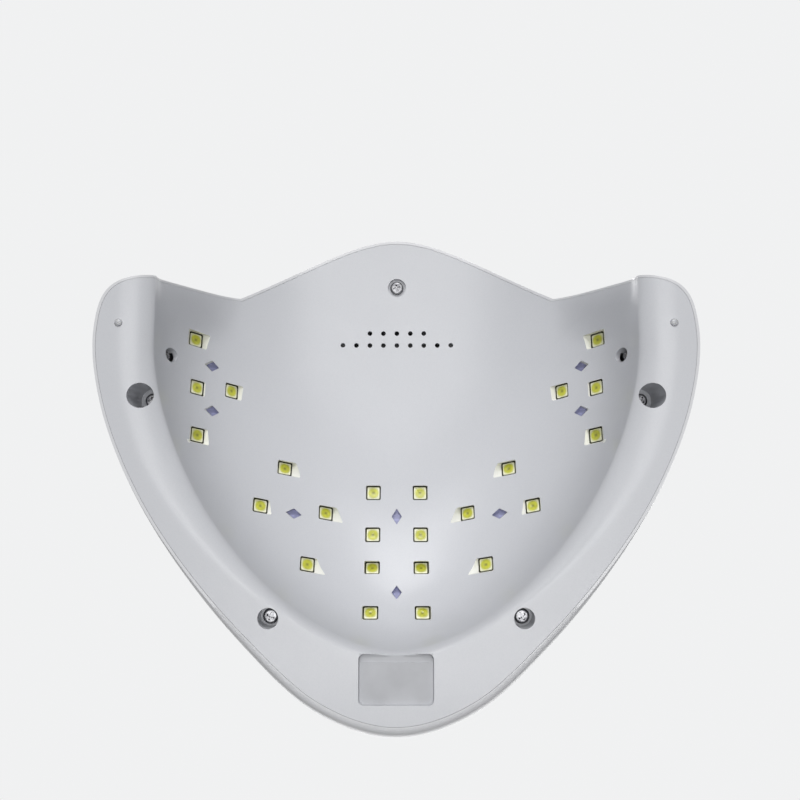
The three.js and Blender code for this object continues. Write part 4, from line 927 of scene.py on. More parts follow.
# Screw wells: x, y, radius, depth of the shelf that the head rests on, thickness of the shelf
SIDE_WELL = (BOWL_HALF + 3.7, -0.248 * HALF_LENGTH, 4.8, 22.0, 2.0)
REAR_WELL = (0.407 * HALF_WIDTH, 0.566 * HALF_LENGTH, 3.85, 10.0, 2.0)
FRONT_WELL = (0.0, -0.795 * HALF_LENGTH, 4.0, 2.2, 1.3)
WELL_SIDES = ((SIDE_WELL, (1, -1)), (REAR_WELL, (1, -1)), (FRONT_WELL, (1,)))
WELL_WALL, BOSS_RADIUS = 1.5, 3.6
SCREW_NODES = [f"case_screw_{where}" for where in ("side_right", "side_left", "rear_right", "rear_left",
                                                   "front")]
SCREW_HEAD, SCREW_HEAD_HEIGHT, SCREW_HEAD_EDGE, SCREW_SHANK, SCREW_LENGTH = 2.9, 2.0, 1.0, 1.4, 12.0
THREADS, THREAD_PITCH, THREAD_START, THREAD_DEPTH = 16, 0.6, 1.2, 0.3
CROSS_REACH, CROSS_WIDTH, CROSS_DEPTH, SCREW_TURN = 0.6, 0.85, 1.2, 0.5
NUB_PLACES = [(side * 0.9126 * HALF_WIDTH, -0.5215 * HALF_LENGTH) for side in (1, -1)]

SENSOR_SHARES = (0.977, 0.007)
SENSOR_RADIUS, SENSOR_LENGTH, SENSOR_MOUTH, SENSOR_STRETCH = 2.4, 8.0, 2.9, 1.65
SENSOR_SINK, SENSOR_FLANGE = 1.2, 0.2
LABEL_WIDTH, LABEL_LENGTH, LABEL_Y = 27.6, 18.4, 0.7822 * HALF_LENGTH
LABEL_CORNER, LABEL_SLOPE, LABEL_BEVEL = 2.0, 0.8, 1.0
LABEL_STEP_INSET, LABEL_STEP_LENGTH, LABEL_STEP_BEFORE, LABEL_STEP_DEPTH = 1.4, 2.4, 7.2, 0.35

TOP_CUT = 60.0
PANEL_WIDTH, PANEL_LENGTH, PANEL_CORNER, PANEL_THICKNESS = 86.0, 51.0, 11.0, 1.0
DISPLAY_WIDTH, DISPLAY_LENGTH, DISPLAY_SHIFT = 34.0, 12.0, 2.2
FIGURES_X = (-10.5, -3.5, 3.5, 10.5)
BAR_PITCH, BAR_HALF, BAR_HALF_WIDTH, BAR_HALF_HEIGHT = 2.2, 2.1, 0.4, 0.04
BUTTON_LABELS = ["10s", "30s", "60s", "99s"]
BUTTON_RADIUS, BUTTON_HOLE_REACH, NUMBER_BEHIND, NUMBER_SIZE, NUMBER_RELIEF = 5.5, 12.0, 9.2, 4.2, 0.04
KEY_STEM, KEY_COLLAR, KEY_COLLAR_HEIGHT, KEY_EDGE = 1.8, 1.2, 0.8, 0.5
DISH_START, DISH_RINGS = 0.8, (0.8, 0.65, 0.5, 0.35, 0.2, 0.08)
SLOT_COUNT, SLOT_PITCH, SLOT_RADIUS, SLOT_STRETCH = 9, 6.5, 1.2, 13.6
SLOT_Y, SLOT_LOW = 0.57 * HALF_LENGTH, 50.0
VENT_COUNTS, VENT_PITCH, VENT_ROW_PITCH, VENTS_BEFORE = (9, 5), 6.0, 5.4, 5.0
FAN_HUB, FAN_HUB_EDGE, FAN_AXLE, AXLE_RISE, BLADE_ROOM = 11.0, 0.8, 1.0, 1.7, 23.4
FAN_PEG, FAN_PEG_INSET = 1.5, 4.5
PLUG_HOLE, PLUG_HOLE_DEPTH = 4.2, 12.0
INLET_WIDTH, INLET_HEIGHT, INLET_DEPTH, INLET_BEVEL = 9.0, 11.0, 13.0, 0.4
INLET_BORE, INLET_BORE_DEPTH, INLET_LEAD_IN, INLET_PIN = 2.9, 9.5, 3.3, 1.0

Well = namedtuple("Well", "x y radius mouth shelf top")
LedBoard = namedtuple("LedBoard", "frame leds rhombi centre span lean aim rhombus slopes")


def wells():
    """The well of each case screw, with the heights of its mouth, its shelf and its top"""
    rows = []
    for (x, y, radius, depth, shelf), signs in WELL_SIDES:
        for sign in signs:
            mouth = float(bowl_z(sign * x, y))
            rows.append(Well(sign * x, y, radius, mouth, mouth + depth, mouth + depth + shelf))
    return rows


def rods_in_wells(name, radius, sides, low, length, widen=lambda well: 1):
    """A rod in each screw well, whose low end, length and width are worked out from the well"""
    return repeated(name, rod("rod", radius, 0, 1, sides),
                    [upright(well.x, well.y, low(well)) for well in wells()],
                    [(widen(well), widen(well), length(well)) for well in wells()])


def led_face():
    """Height of an LED's face in its board's frame"""
    return -GAP - sizes().led_height / MM


def middle_and_span(values):
    return (max(values) + min(values)) / 2, max(values) - min(values)


def led_board_place(name):
    """Frame of one flat LED board, with its LEDs, rhombic windows, centre and size in that frame"""
    led_shares, rhombus_shares, side = LED_GROUPS[name]
    leds = [bowl_point(side * x, y) for x, y in map(bowl_place, led_shares)]
    rhombi = [bowl_point(side * x, y) for x, y in map(bowl_place, rhombus_shares)]
    normal = (leds[1] - leds[0]).cross(leds[3] - leds[2]).normalized()
    normal = -normal if normal.z < 0 else normal
    across = (Vector((1, 0, 0)) - normal * normal.x).normalized()
    up = normal.cross(across)
    origin = sum(leds, Vector()) / len(leds)
    bulge = max((point - origin).dot(normal) for point in leds + rhombi)
    origin = origin + normal * (bulge + sizes().led_height / MM + 3 * GAP)
    board = Matrix.Translation(origin) @ Matrix((across, up, normal)).transposed().to_4x4()
    inverse = board.inverted()
    plumb = inverse.to_3x3() @ Vector((0, 0, 1))
    lean = Vector((plumb.x / plumb.z, plumb.y / plumb.z, 1))
    sight = inverse.to_3x3() @ Vector((origin.x / WINDOW_SIGHT, origin.y / WINDOW_SIGHT, 1))
    aim = Vector((sight.x / sight.z, sight.y / sight.z, 1))
    leds = [q + lean * (led_face() - q.z) for q in (inverse @ p for p in leds)]
    rhombi = [q - lean * q.z for q in (inverse @ p for p in rhombi)]
    x, width = middle_and_span([p.x for p in leds])
    y, length = middle_and_span([p.y for p in leds])
    span = tuple(reach + sizes().led / MM + 2 * BOARD_MARGIN for reach in (width, length))
    kind = name.split("_")[0] if "_" in name else "side"
    return LedBoard(board, leds, rhombi, (x, y), span, lean, aim, RHOMBUS_SIZES[kind], INNER_SLOPES[kind])


def led_boards():
    return [led_board_place(name) for name in LED_GROUPS]


def led_places(boards, height=0.0):
    return [board.frame @ upright(point.x, point.y, height) for board in boards for point in board.leds]


def pulled_down(board, point, height):
    """Place of a cut that starts at a height over the board and falls straight down, as the mould pulls"""
    shear = Matrix.Identity(4)
    shear[0][2], shear[1][2] = board.lean.x, board.lean.y
    return board.frame @ upright(point.x, point.y, height) @ shear


def sensor_places():
    """Frames of the infra-red pair, right and left, each square to the wall"""
    across, along = bowl_place(SENSOR_SHARES)
    step = sizes().liner_wall / MM
    places = []
    for side in (1, -1):
        origin = bowl_point(side * across, along)
        inward = bowl_point(side * (across - step), along) - origin
        normal = inward.cross(bowl_point(side * across, along + step) - origin).normalized()
        places.append(axis_place(origin, -normal if normal.z < 0 else normal))
    return places


def button_points(label):
    return [v.co / MM for v in frame["nodes"][f"button_{label}"].data.vertices]


def button_place(label):
    """Frame of a button, its axis out of the dome, its origin at the middle of its face; and its low end"""
    joint = next(j for j in frame["joints"] if j["name"] == f"button_{label}_press")
    out = -Vector(joint["axis"]).normalized()
    points = button_points(label)
    top = max(p.dot(out) for p in points)
    face = [p for p in points if p.dot(out) > top - GAP]
    low = min(p.dot(out) for p in points) - top
    middle = (Vector(map(min, zip(*face))) + Vector(map(max, zip(*face)))) / 2
    return axis_place(middle, out), low


def button_holes():
    """Cutters of the four round holes that the buttons stand in"""
    hole = rod("hole", BUTTON_RADIUS + GAP, -BUTTON_HOLE_REACH, BUTTON_HOLE_REACH, 64)
    return repeated("button_holes", hole, [button_place(label)[0] for label in BUTTON_LABELS])


def panel_prism(name, margin):
    prism = plate(name, PANEL_WIDTH + 2 * margin, PANEL_LENGTH + 2 * margin, PANEL_CORNER + margin,
                  TOP_CUT, HEIGHT + OVERRUN, 16)
    low, high = box_of("control_panel")
    return place(prism, upright(0, (low.y + high.y) / 2))


def display_y():
    low, high = box_of("display_module")
    return (low.y + high.y) / 2 + DISPLAY_SHIFT


def socket_place():
    """Frame of the power inlet, its axis out of the rear tip"""
    low, high = box_of("dc_socket")
    return Matrix.Translation((0, high.y, (low.z + high.z) / 2)) @ Matrix.Rotation(-math.pi / 2, 4, "X")


# Pieces

class LampOperator:
    bl_options = {"REGISTER", "UNDO"}


class NAILLAMP_OT_shell(LampOperator, bpy.types.Operator):
    """Builds the outer dome with its panel recess, slots and plug hole"""
    bl_idname = "nail_lamp.shell"
    bl_label = "Outer dome"

    def execute(self, context):
        wall = sizes().shell_wall / MM
        dome = cut(dome_form("housing_dome", 0, rows=DOME_ROWS), dome_form("void", wall, -OVERRUN))
        bosses = rods_in_wells("bosses", BOSS_RADIUS, 32, lambda well: well.top + GAP,
                               lambda well: HEIGHT - well.top)
        add(dome, combine(bosses, dome_form("core", wall / 2), "INTERSECT"))
        cut(dome, rods_in_wells("pilots", SCREW_SHANK + GAP, 24, lambda well: 0,
                                lambda well: well.shelf + SCREW_LENGTH + GAP))
        cut(dome, cut(panel_prism("recess", GAP), dome_form("under_recess", PANEL_THICKNESS + GAP)))
        window = plate("window", DISPLAY_WIDTH, DISPLAY_LENGTH, 1, TOP_CUT, HEIGHT)
        cut(dome, place(window, upright(0, display_y())), button_holes())
        cut(dome, row_of_holes("exhaust_slots", SLOT_COUNT, SLOT_PITCH, SLOT_RADIUS, SLOT_STRETCH,
                               SLOT_Y, SLOT_LOW, HEIGHT))
        cut(dome, repeated("plug_hole", rod("hole", PLUG_HOLE, 0, PLUG_HOLE_DEPTH, 64), [socket_place()]))
        seam = sizes().liner_wall / MM + GAP
        cut(dome, bowl_form("rebate", seam, -roll_at(ANGLES) - SEAM_INSET), hand_room())
        pearl = pearl_plastic("Pearl shell", colours().shell)
        finish_piece(smooth(dome), "housing", ["outer_shell"], [pearl])
        return {"FINISHED"}


class NAILLAMP_OT_reflector(LampOperator, bpy.types.Operator):
    """Builds the reflector bowl and flange with wells, windows, vents and label recess"""
    bl_idname = "nail_lamp.reflector"
    bl_label = "Reflector bowl"

    def execute(self, context):
        bowl = bowl_form("reflector_bowl", sizes().liner_wall / MM, -roll_at(ANGLES) - SEAM_INSET - SEAM_GAP)
        boards = led_boards()
        self.add_backs(bowl, boards)
        cut(bowl, hand_room())
        self.cut_led_windows(bowl, boards)
        self.cut_holes(bowl)
        cut(bowl, label_recess())
        self.add_fan_pegs(bowl)
        pearl = pearl_plastic("Pearl reflector", colours().reflector, (0.3, 0.42), 0.3, 0.2)
        # Window walls get a lighter copy of the bowl's plastic: painted light
        lit_reveal = moulded_plastic("Bare window plastic", colours().reveal, (0.4, 0.5), 2400, 0.05)
        # Near-black finish for the LED sockets' walls: painted shade of the gap round each LED
        painted_gap_shade = moulded_plastic("Dark gasket", (0.035, 0.035, 0.02), (0.4, 0.6), 3000, 0.05)
        # Label floor: a matte copy of the bowl's plastic, darker by 0.84 as painted shade; the roughness is
        # its own
        recess_painted_shade = shaded(colours().reflector, 0.84)
        matte_shaded = moulded_plastic("Matte recess plastic", recess_painted_shade, (0.55, 0.7), 1800, 0.08)
        finish_piece(smooth(bowl, 28), "housing", ["inner_shell"], [pearl, lit_reveal, painted_gap_shade, matte_shaded])
        self.paint_reveals(bowl, boards)
        return {"FINISHED"}

    def add_backs(self, bowl, boards):
        """Adds what stands on the bowl's back: fan seat, LED pads, well walls and sensor sleeves"""
        wall, seat, side = sizes().liner_wall / MM, fan_low.z - GAP, fan_high.x - fan_low.x
        add(bowl, place(plate("fan_seat", side, side, 1, seat - wall, seat), upright(0, FAN_Y)))
        add(bowl, self.slabs("pads", boards, -PAD_DEPTH, -GAP, 0))
        add(bowl, rods_in_wells("well_walls", 1, 48, lambda well: well.mouth,
                                lambda well: well.top - well.mouth, lambda well: well.radius + WELL_WALL))
        sleeve = rod("sleeve", SENSOR_RADIUS + GAP + WELL_WALL, 0, SENSOR_LENGTH / 2)
        add(bowl, repeated("sleeves", sleeve, sensor_places()))

    def cut_led_windows(self, bowl, boards):
        """Cuts the boards' room, the LEDs' sockets and the square and rhombic windows"""
        cut(bowl, self.slabs("board_room", boards, -GAP, OVERRUN, GAP))
        room = sizes().led / MM + 2 * SOCKET_ROOM
        socket = plate("socket", room, room, SOCKET_CORNER, led_face() - SLIVER, GAP, 5)
        cut(bowl, repeated("led_sockets", socket, led_places(boards)))
        for board in boards:
            cut(bowl, *[place(window_form(board.aim, board.slopes), matrix)
                        for matrix in led_places([board], led_face())])
            cut(bowl, *[place(rhombus_form(*board.rhombus), pulled_down(board, point, 0))
                        for point in board.rhombi])

    def cut_holes(self, bowl):
        """Cuts the screw wells and holes, the nubs' holes, the vents and the sensors' bores and mouths"""
        cut(bowl, rods_in_wells("well_holes", 1, 64, lambda well: -OVERRUN,
                                lambda well: well.shelf + OVERRUN, lambda well: well.radius))
        cut(bowl, rods_in_wells("screw_holes", SCREW_SHANK + GAP, 24, lambda well: 0,
                                lambda well: well.top + OVERRUN))
        nub = rod("hole", sizes().nub_radius / MM + SLIVER, -OVERRUN, OVERRUN, 32)
        cut(bowl, repeated("nub_holes", nub, [upright(x, y) for x, y in NUB_PLACES]))
        radius, seat = sizes().vent_radius / MM, fan_low.z - GAP
        for row, count in enumerate(VENT_COUNTS):
            y = FAN_Y - VENTS_BEFORE - row * VENT_ROW_PITCH
            cut(bowl, row_of_holes("vents", count, VENT_PITCH, radius, 0, y,
                                   seat - 3 * OVERRUN, seat + OVERRUN))
        bore = rod("hole", SENSOR_RADIUS + GAP, -OVERRUN, SENSOR_LENGTH + OVERRUN, 48)
        cut(bowl, repeated("sensor_holes", bore, sensor_places()))
        mouth = rod("mouth", SENSOR_MOUTH, -OVERRUN, SENSOR_LENGTH, 48)
        cut(bowl, repeated("sensor_mouths", mouth, sensor_places(), [(SENSOR_STRETCH, 1, 1)] * 2))

    def add_fan_pegs(self, bowl):
        """Adds the pegs that hold the fan by the holes in its corners"""
        reach = (fan_high.x - fan_low.x) / 2 - FAN_PEG_INSET
        pegs = [upright(x * reach, FAN_Y + y * reach) for x in (-1, 1) for y in (-1, 1)]
        add(bowl, repeated("fan_pegs", rod("peg", FAN_PEG, fan_low.z - GAP - 1, fan_high.z, 24), pegs))

    def slabs(self, name, boards, low, high, margin):
        """A flat block over each LED board, wider than the board by the margin"""
        places = [board.frame @ upright(*board.centre) for board in boards]
        return repeated(name, plate("slab", 1, 1, 0.02, low, high, 2), places,
                        [(board.span[0] + margin, board.span[1] + margin, 1) for board in boards])

    def paint_reveals(self, bowl, boards):
        """Marks the faces inside the LED and rhombic windows and on the label recess's floor, for painted
        light and shade: lighter window walls, near-black socket walls, a darker label floor
        """
        faces = bowl.data.polygons
        centres, normals = np.empty(len(faces) * 3), np.empty(len(faces) * 3)
        faces.foreach_get("center", centres)
        faces.foreach_get("normal", normals)
        centres, normals = centres.reshape(-1, 3) / MM, normals.reshape(-1, 3)
        index = np.zeros(len(centres), np.int32)
        for board in boards:
            inverse = np.array(board.frame.inverted())
            local = centres @ inverse[:3, :3].T + inverse[:3, 3]
            facing = np.abs(normals @ inverse[:3, :3].T[:, 2]) < LEVEL_LIMIT
            under = local[:, 2] < TOLERANCE
            near = (local[:, 2] > -WINDOW_DEPTH) & under & facing
            for point in board.leds:
                inside = self.in_window(board, local, point)
                # The window's walls take the lighter reveal colour: painted light
                index[near & inside] = LIT_REVEAL
                # Socket walls between the LED face and the board: painted shade of the gap
                index[inside & (local[:, 2] > led_face()) & under] = PAINTED_GAP_SHADE
            for point in board.rhombi:
                below = np.minimum(local[:, 2], 0)
                dx = np.abs(local[:, 0] - point.x - board.lean.x * below)
                dy = np.abs(local[:, 1] - point.y - board.lean.y * below)
                # The rhombic window's walls take the lighter reveal colour too: painted light
                index[near & (dx / board.rhombus[0] + dy / board.rhombus[1] < RHOMBUS_BORDER)] = LIT_REVEAL
        # The label recess's floor and walls take the darker matte finish: painted shade
        index[self.on_label(centres)] = MATTE_SHADED
        faces.foreach_set("material_index", index)

    def in_window(self, board, local, point):
        """Which places in a board's frame lie inside the slanted window of one LED"""
        below = np.maximum(led_face() - local[:, 2], 0)
        half = sizes().led / MM / 2 + WINDOW_CLEARANCE + WINDOW_BORDER
        offset = local[:, 1] - point.y + board.aim.y * below
        inner_slope = board.slopes[0] + board.slopes[1] * np.clip(offset / half, -1, 1)
        away = (local[:, 0] - point.x) * -math.copysign(1, board.aim.x)
        inside = (np.abs(offset) < half + WINDOW_FLARE * below) & (away > -half - inner_slope * below)
        return inside & (away < half + (abs(board.aim.x) + WINDOW_FLARE) * below)

    def on_label(self, centres):
        """Which places lie on the floor and the walls of the label recess"""
        beside = np.abs(centres[:, :2] - (0, LABEL_Y)) < (LABEL_WIDTH / 2, LABEL_LENGTH / 2)
        floor = sizes().label_depth / MM + LABEL_BORDER
        return beside.all(axis=1) & (centres[:, 2] > TOLERANCE) & (centres[:, 2] < floor)


def window_form(aim, slopes):
    """Square window that opens towards the hand; its inner side has its own slope, wider to the rear"""
    half = sizes().led / MM / 2 + WINDOW_CLEARANCE
    corners = rounded_outline(2 * half, 2 * half, WINDOW_CORNER, 5)
    mouth = []
    for start, end in zip(corners, corners[1:] + corners[:1]):
        steps = max(1, round(math.dist(start, end)))
        mouth += [tuple(Vector(start).lerp(Vector(end), i / steps)) for i in range(steps)]
    layers, depths = [], np.linspace(WINDOW_DEPTH, 0, WINDOW_LAYERS)
    for depth in depths:
        flare = WINDOW_FLARE * depth
        outline = []
        for x, y in mouth:
            inner = x * aim.x > 0
            wide = (slopes[0] + slopes[1] * y / half) * depth if inner else abs(aim.x) * depth + flare
            outline.append((x + math.copysign(wide, x), y + flare * y / half - aim.y * depth))
        layers.append(outline)
    return layered("window", layers, list(-depths))


def rhombus_form(half_x, half_y):
    """Rhombic window with softly rounded corners, down to under the bowl's surface"""
    corners = [Vector(corner) for corner in ((half_x, 0), (0, half_y), (-half_x, 0), (0, -half_y))]
    outline = []
    for i, corner in enumerate(corners):
        start = corner.lerp(corners[i - 1], RHOMBUS_ROUNDING)
        end = corner.lerp(corners[(i + 1) % 4], RHOMBUS_ROUNDING)
        for t in np.linspace(0, 1, 4):
            outline.append(tuple(start * (1 - t) ** 2 + corner * 2 * t * (1 - t) + end * t ** 2))
    return layered("rhombus", [outline, outline], [-MOUTH_RADIUS - OVERRUN, 0])


def label_recess():
    """Cutter of the blank label recess, with a shallow step along its front edge"""
    depth = sizes().label_depth / MM
    rim, floor = (rounded_outline(LABEL_WIDTH - slope, LABEL_LENGTH - slope, LABEL_CORNER)
                  for slope in (0, LABEL_SLOPE))
    recess = layered("label", [rim, rim, floor], [-OVERRUN, depth - LABEL_BEVEL, depth])
    step = plate("label_step", LABEL_WIDTH - LABEL_STEP_INSET, LABEL_STEP_LENGTH, 0.5,
                 -OVERRUN, depth + LABEL_STEP_DEPTH, 6)
    return add(place(recess, upright(0, LABEL_Y)), place(step, upright(0, LABEL_Y - LABEL_STEP_BEFORE)))


class NAILLAMP_OT_leds(LampOperator, bpy.types.Operator):
    """Sets an LED package on its board behind each square window"""
    bl_idname = "nail_lamp.leds"
    bl_label = "LED packages"

    def execute(self, context):
        places = led_places(led_boards())
        # The LED bases are near-black: painted shade of the gap round each lens
        gap_shade_dark = moulded_plastic("LED package", (0.05, 0.05, 0.025), (0.3, 0.45), 4000, 0.05)
        finish_piece(repeated("led_bases", self.base(), places, finish=gap_shade_dark), "housing", [])
        phosphor = phosphor_silicone("Phosphor silicone", colours().phosphor)
        lenses = repeated("led_lenses", self.lens(), places, finish=phosphor)
        finish_piece(smooth(lenses, 40), "housing", LED_NODES)
        return {"FINISHED"}

    def base(self):
        """Package with two contacts at its edge, on a foot that fills the socket, all near-black as painted
        shade of the gap round the lens
        """
        side, low = sizes().led / MM, led_face()
        foot = side + 2 * SOCKET_ROOM - 0.1
        rings = ((side - 0.3, 0.6, low + 0.5), (side, 0.5, low + 0.62), (side, 0.5, -GAP - 0.3),
                 (foot, 0.5, -GAP - 0.25), (foot, 0.5, -GAP))
        outlines = [rounded_outline(s, s, c, 4) for s, c, _ in rings]
        base = layered("led_base", outlines, [z for *_, z in rings])
        for x in (-CONTACT_X, CONTACT_X):
            contact = plate("contact", CONTACT_WIDTH, CONTACT_LENGTH, 0.08, low + 0.12, low + 0.7, 3)
            add(base, place(contact, upright(x, 0.1 - side / 2)))
        return base

    def lens(self):
        """Silicone square in rings, middle first: side, corner, depth behind the face, shade of the die"""
        side, low = sizes().led / MM, led_face()
        rings = [(0.45, 0.16, 0.15, 1.0), (0.9, 0.3, 0.12, 0.8), (1.5, 0.4, 0.04, 0.3),
                 (3.0, 0.5, 0.0, 0.15), (3.9, 0.6, 0.0, 0.3), (4.35, 0.6, 0.02, 0.0),
                 (side - 0.1, 0.6, 0.04, 0.0), (side + 0.2, 0.5, 0.08, 0.0),
                 (side + 0.3, 0.5, 0.2, 0.0), (side + 0.3, 0.5, 0.5, 0.0)]
        outlines = [rounded_outline(s, s, c, 5) for s, c, *_ in rings]
        lens = layered("led_lens", outlines, [low + z for _, _, z, _ in rings])
        mark_points(lens, "depth", np.repeat([shade for *_, shade in rings], len(outlines[0])))
        mark_points(lens, "spot", [(x, y, 0) for outline in outlines for x, y in outline])
        return lens


class NAILLAMP_OT_screws(LampOperator, bpy.types.Operator):
    """Sets a pan-head screw with a cross recess in each well"""
    bl_idname = "nail_lamp.screws"
    bl_label = "Case screws"

    def execute(self, context):
        places = [upright(well.x, well.y, well.shelf - GAP - SCREW_HEAD_HEIGHT)
                  @ Matrix.Rotation(SCREW_TURN + i, 4, "Z") for i, well in enumerate(wells())]
        screws = repeated("case_screws", self.screw(), places, finish=zinc_steel("Zinc-plated steel"))
        finish_piece(smooth(screws, 35), "housing", SCREW_NODES)
        return {"FINISHED"}

    def screw(self):
        """Screw from the middle of its head's face to its tip, head down"""
        edge, top = SCREW_HEAD_EDGE, SCREW_HEAD_HEIGHT
        profile = [(0, 0), *arc((SCREW_HEAD - edge, edge), edge, -90, 0, 8), (SCREW_HEAD, top - 0.1),
                   (SCREW_HEAD - 0.1, top), (SCREW_SHANK, top)]
        for i in range(THREADS):
            z = top + THREAD_START + i * THREAD_PITCH
            profile += [(SCREW_SHANK - THREAD_DEPTH, z), (SCREW_SHANK, z + THREAD_PITCH / 2)]
        profile += [(SCREW_SHANK - 0.4, z + 0.7), (0, top + GAP + SCREW_LENGTH)]
        screw = turned("screw", profile, 48)
        arm = CROSS_REACH * 2 * SCREW_HEAD
        for width, length in ((arm, CROSS_WIDTH), (CROSS_WIDTH, arm)):
            face = rounded_outline(width, length, 0.15, 3)
            floor = rounded_outline(width * 0.62, length * 0.8, 0.12, 3)
            cut(screw, layered("cross", [face, floor], [-0.5, CROSS_DEPTH]))
        return screw


class NAILLAMP_OT_feet(LampOperator, bpy.types.Operator):
    """Builds the two translucent foot nubs"""
    bl_idname = "nail_lamp.feet"
    bl_label = "Foot nubs"

    def execute(self, context):
        radius = sizes().nub_radius / MM
        seat = float(bowl_z(*NUB_PLACES[0])) + sizes().liner_wall / MM + GAP
        turns = np.linspace(0.15, math.pi / 2, 10)
        cap = [(radius * math.sin(t), NUB_HEIGHT * (1 - math.cos(t))) for t in turns]
        profile = [(0, 0), *cap, (radius, seat), (radius + 1, seat), (radius + 1, seat + 1), (0, seat + 1)]
        nubs = repeated("foot_nubs", turned("nub", profile, 40), [upright(x, y) for x, y in NUB_PLACES],
                        finish=clear_silicone("Clear silicone"))
        finish_piece(smooth(nubs, 40), "housing", ["foot_nub_right", "foot_nub_left"])
        return {"FINISHED"}


class NAILLAMP_OT_sensors(LampOperator, bpy.types.Operator):
    """Builds the round infra-red pair in the side walls"""
    bl_idname = "nail_lamp.sensors"
    bl_label = "Infra-red pair"

    def execute(self, context):
        radius, rim, under = SENSOR_RADIUS, SENSOR_RADIUS + SENSOR_FLANGE, SENSOR_LENGTH - 1
        profile = [(0, SENSOR_SINK), *arc((0, SENSOR_SINK + radius), radius, -80, 0, 12),
                   (radius, under), (rim, under), (rim, SENSOR_LENGTH), (0, SENSOR_LENGTH)]
        lens = smoked_lens("Smoked sensor lens", (0.016, 0.016, 0.02), (0.12, 0.2))
        pair = repeated("infra_red_pair", turned("sensor", profile, 48), sensor_places(), finish=lens)
        finish_piece(smooth(pair, 40), "housing", ["ir_emitter", "ir_receiver"])
        return {"FINISHED"}


class NAILLAMP_OT_panel(LampOperator, bpy.types.Operator):
    """Builds the smoked panel on the dome with its printed numbers and display segments"""
    bl_idname = "nail_lamp.panel"
    bl_label = "Control panel"

    def execute(self, context):
        lens = combine(panel_prism("control_lens", 0), dome_form("over_panel", 0), "INTERSECT")
        cut(lens, dome_form("under_panel", PANEL_THICKNESS, -OVERRUN), button_holes())
        smoked = smoked_lens("Smoked panel", colours().panel)
        finish_piece(smooth(lens, 30), "housing", ["control_panel"], [smoked])
        self.print_numbers()
        self.print_display()
        return {"FINISHED"}

    def on_dome(self, piece):
        """Lays a flat piece on the dome"""
        vertices = piece.data.vertices
        co = np.empty(len(vertices) * 3)
        vertices.foreach_get("co", co)
        co = co.reshape(-1, 3)
        co[:, 2] += dome_z(co[:, 0] / MM, co[:, 1] / MM) * MM
        vertices.foreach_set("co", co.ravel())
        piece.data.update()
        return piece

    def print_numbers(self):
        """Prints each button's time on the panel behind it"""
        ink = printed_ink("White ink", (0.72, 0.73, 0.75))
        for label in BUTTON_LABELS:
            name = f"number_{label}"
            text = bpy.data.curves.new(name, "FONT")
            text.body, text.size, text.extrude = label[:-1], NUMBER_SIZE * MM, NUMBER_RELIEF * MM
            text.align_x = text.align_y = "CENTER"
            flat = linked(name, text)
            mesh = plain_mesh(flat)
            bpy.data.objects.remove(flat)
            middle = button_place(label)[0].translation
            number = place(linked(name, mesh), upright(middle.x, middle.y + NUMBER_BEHIND))
            finish_piece(self.on_dome(number), "housing", [], [ink])

    def print_display(self):
        """Four figures of seven bars each, unlit behind the smoked lens"""
        tip, end, half = BAR_HALF, BAR_HALF - BAR_HALF_WIDTH, BAR_HALF_WIDTH
        outline = [(-tip, 0), (-end, -half), (end, -half), (tip, 0), (end, half), (-end, half)]
        bar = layered("bar", [outline, outline], [-BAR_HALF_HEIGHT, BAR_HALF_HEIGHT])
        pitch = BAR_PITCH
        level = [(0, dy, 0) for dy in (2 * pitch, 0, -2 * pitch)]
        standing = [(dx, dy, math.pi / 2) for dy in (pitch, -pitch) for dx in (pitch, -pitch)]
        places = [upright(x + dx, display_y() + dy) @ Matrix.Rotation(turn, 4, "Z")
                  for x in FIGURES_X for dx, dy, turn in level + standing]
        bars = repeated("display_bars", bar, places, finish=printed_ink("Unlit bars", (0.11, 0.115, 0.13)))
        finish_piece(self.on_dome(bars), "housing", [])


class NAILLAMP_OT_buttons(LampOperator, bpy.types.Operator):
    """Builds the four push buttons, each on its own body"""
    bl_idname = "nail_lamp.buttons"
    bl_label = "Push buttons"

    def execute(self, context):
        satin = pearl_plastic("Satin keys", colours().keys, (0.32, 0.42), 0.15)
        for label in BUTTON_LABELS:
            matrix, low = button_place(label)
            profile = self.key_profile(low, self.collar_height(label, matrix))
            cap = place(turned(f"button_cap_{label}", profile, 64), matrix)
            finish_piece(smooth(cap, 35), f"button_{label}_body", [f"button_{label}"], [satin])
        return {"FINISHED"}

    def key_profile(self, low, collar):
        """Half section of a key: its stem, its collar and its dished face"""
        r, rim, under = BUTTON_RADIUS, BUTTON_RADIUS + KEY_COLLAR, collar - KEY_COLLAR_HEIGHT
        dish = sizes().key_dish / MM
        hollow = [(r * s, -dish * (1 - (s / DISH_START) ** 2)) for s in DISH_RINGS]
        return [(0, low), (KEY_STEM, low), (KEY_STEM, under), (rim, under), (rim, collar), (r, collar),
                *arc((r - KEY_EDGE, -KEY_EDGE), KEY_EDGE, 0, 90, 8), *hollow, (0, -dish)]

    def collar_height(self, label, matrix):
        """Height of the collar's top under the button's face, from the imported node"""
        points = [matrix.inverted() @ point for point in button_points(label)]
        return max(p.z for p in points if p.xy.length > BUTTON_RADIUS + KEY_COLLAR / 2)


